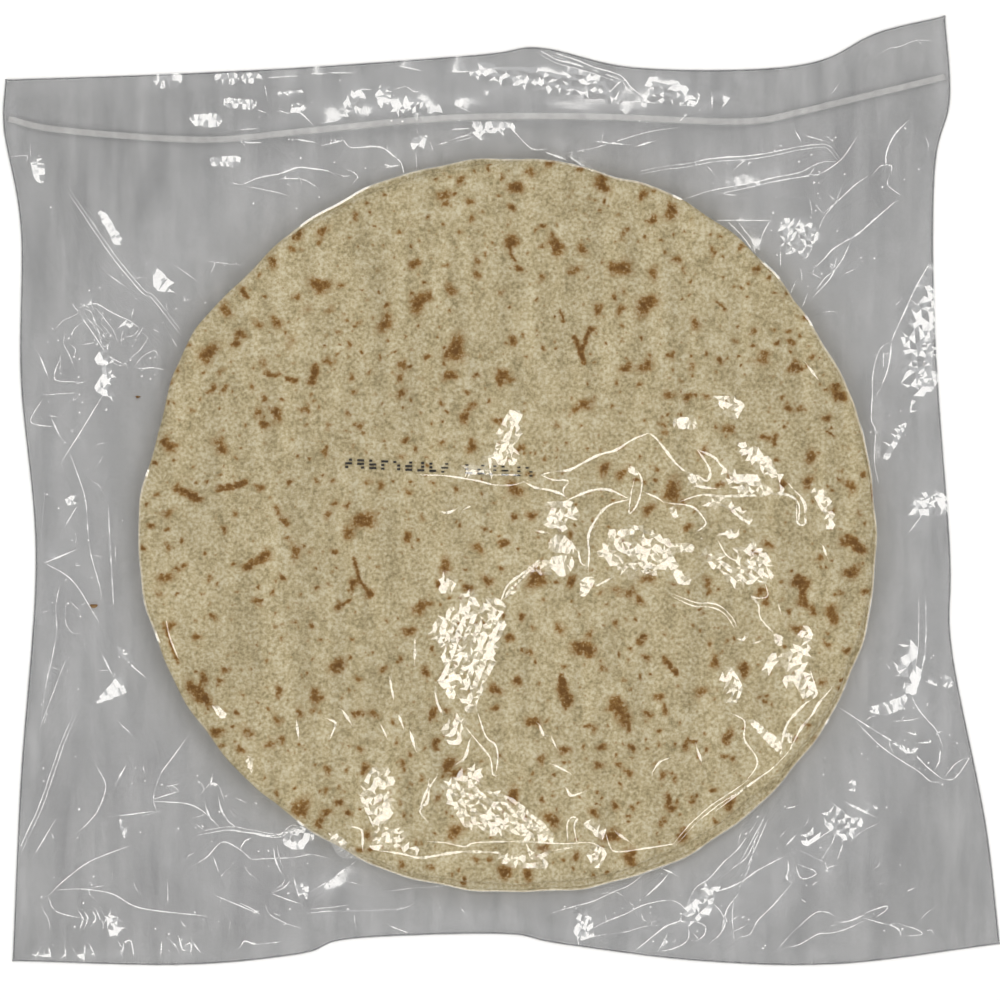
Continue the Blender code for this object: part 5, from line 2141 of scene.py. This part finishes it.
@dataclass(frozen=True)
class Studio:
    """Pale floor, a ring of soft lamps and the camera straight above the bag.

    Its sizes are in metres.

    Attributes:
        camera_height: height of the camera.
        view_side: side of the square view on the bag.
        view_middle: what the view is centred on.
        lamp_count: lamps in the ring.
        ring_radius: distance of the lamps from the bag's axis.
        ring_height: their height.
        lamp_size: each lamp's length round the ring and its height.
        lamp_power: power of each in watts.
        lamp_colour: colour of their light, a little warm.
        fill: brightness of the room straight above.
        glow: brightness of the walls, below the lamps and just above them.
        floor_side: side of the floor.
        floor_points: mesh points along it.
        floor_flat: radius of its level part, beyond which it rises as a shallow dish.
    """

    camera_height: float = 4.4
    view_side: float = 0.4167
    view_middle: tuple[float, float] = (-0.0006, -0.0040)
    lamp_count: int = 8
    ring_radius: float = 3.95
    ring_height: float = 4.39
    lamp_size: tuple[float, float] = (2.72, 2.5)
    lamp_power: float = 45.0
    lamp_colour: str = "#FFFBF4"
    fill: float = 0.03
    glow: float = 0.55
    floor_side: float = 24.0
    floor_points: int = 25
    floor_flat: float = 8.0

    def lay_floor(self, paint: Material) -> None:
        """Lay the floor a fifth of a millimetre under the bag, as a grid.

        Args:
            paint: its finish.
        """
        side = np.linspace(-self.floor_side / 2, self.floor_side / 2, self.floor_points) / MM
        x, y = np.meshgrid(side, side)
        z = -0.2 + 20 * np.maximum(np.hypot(x, y) * MM - self.floor_flat, 0) ** 2
        points = np.dstack((x, y, z)).reshape(-1, 3)
        faces = grid_faces(self.floor_points, self.floor_points)
        link_mesh("floor", points, faces, paint)

    def hang_lamps(self) -> None:
        """Hang the lamps in a ring, each facing the bag."""
        ring = self.ring_radius * compass(circle(self.lamp_count) + math.pi / self.lamp_count)
        for number, place in enumerate(ring):
            light = bpy.data.lights.new(f"lamp_{number + 1}", "AREA")
            light.shape = "RECTANGLE"
            light.size, light.size_y = self.lamp_size
            light.energy = self.lamp_power
            light.color = linear(self.lamp_colour)[:3]
            lamp = bpy.data.objects.new(light.name, light)
            lamp.location = (*place, self.ring_height)
            lamp.rotation_euler = (-lamp.location).to_track_quat("-Z", "Y").to_euler()
            lamp.visible_camera = False
            bpy.context.scene.collection.objects.link(lamp)

    def light_room(self) -> None:
        """Light the room evenly.

        Formula: the walls are pale up to the lamps, and above them the room dims towards its
        zenith. The ramp's stops are heights on the sky: the sine of the elevation.
        """
        world = bpy.data.worlds.new("room")
        world.use_nodes = True
        add = partial(add_node, world.node_tree)
        way = add("TexCoord").outputs["Generated"]
        height = add("SeparateXYZ", links={"Vector": way}).outputs["Z"]
        stops = []
        for place, share in ((0.0, 1.0), (0.85, 1.0), (0.90, 0.45), (0.95, 0.14), (1.0, 0.0)):
            level = self.fill + share * (self.glow - self.fill)
            stops.append((place, (level, level, level, 1.0)))
        sky = add("ValToRGB", {"stops": stops}, {"Fac": height})
        background = world.node_tree.nodes["Background"]
        world.node_tree.links.new(sky.outputs["Color"], background.inputs["Color"])
        bpy.context.scene.world = world

    def place_camera(self) -> None:
        """Hang the camera straight above the bag, with the mouth at the top of the view."""
        data = bpy.data.cameras.new("camera")
        data.sensor_width = 36.0
        data.lens = data.sensor_width * self.camera_height / self.view_side
        data.clip_end = 100.0
        camera = bpy.data.objects.new("camera", data)
        camera.location = (*self.view_middle, self.camera_height)
        bpy.context.scene.collection.objects.link(camera)
        bpy.context.scene.camera = camera

    def build(self) -> None:
        """Set up everything round the bag."""
        self.lay_floor(FLOOR_PAINT.build())
        self.hang_lamps()
        self.light_room()
        self.place_camera()
        bpy.context.scene.view_settings.view_transform = "Standard"
        LOG.info("studio: %d lamps", self.lamp_count)


def main() -> None:
    """Build the dressed bag of crusts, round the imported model's outline."""
    logging.basicConfig(level=logging.INFO, format="%(message)s")
    Studio().build()
    film_finish = PolyethyleneFilm().build()
    dough = BakedDough().build()
    stack = CrustStack()
    stack.build(dough)
    film = Film(BagOutline.of_node(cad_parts["bag"]), stack)
    film.build(film_finish)
    Closure(film).build(MilkyPolyethylene().build())
    EdgeWelds(film).build(film_finish)
    InkRow(film).build(SPRAYED_INK.build())
    Crumbs().build(dough)


if __name__ == "__main__":
    main()
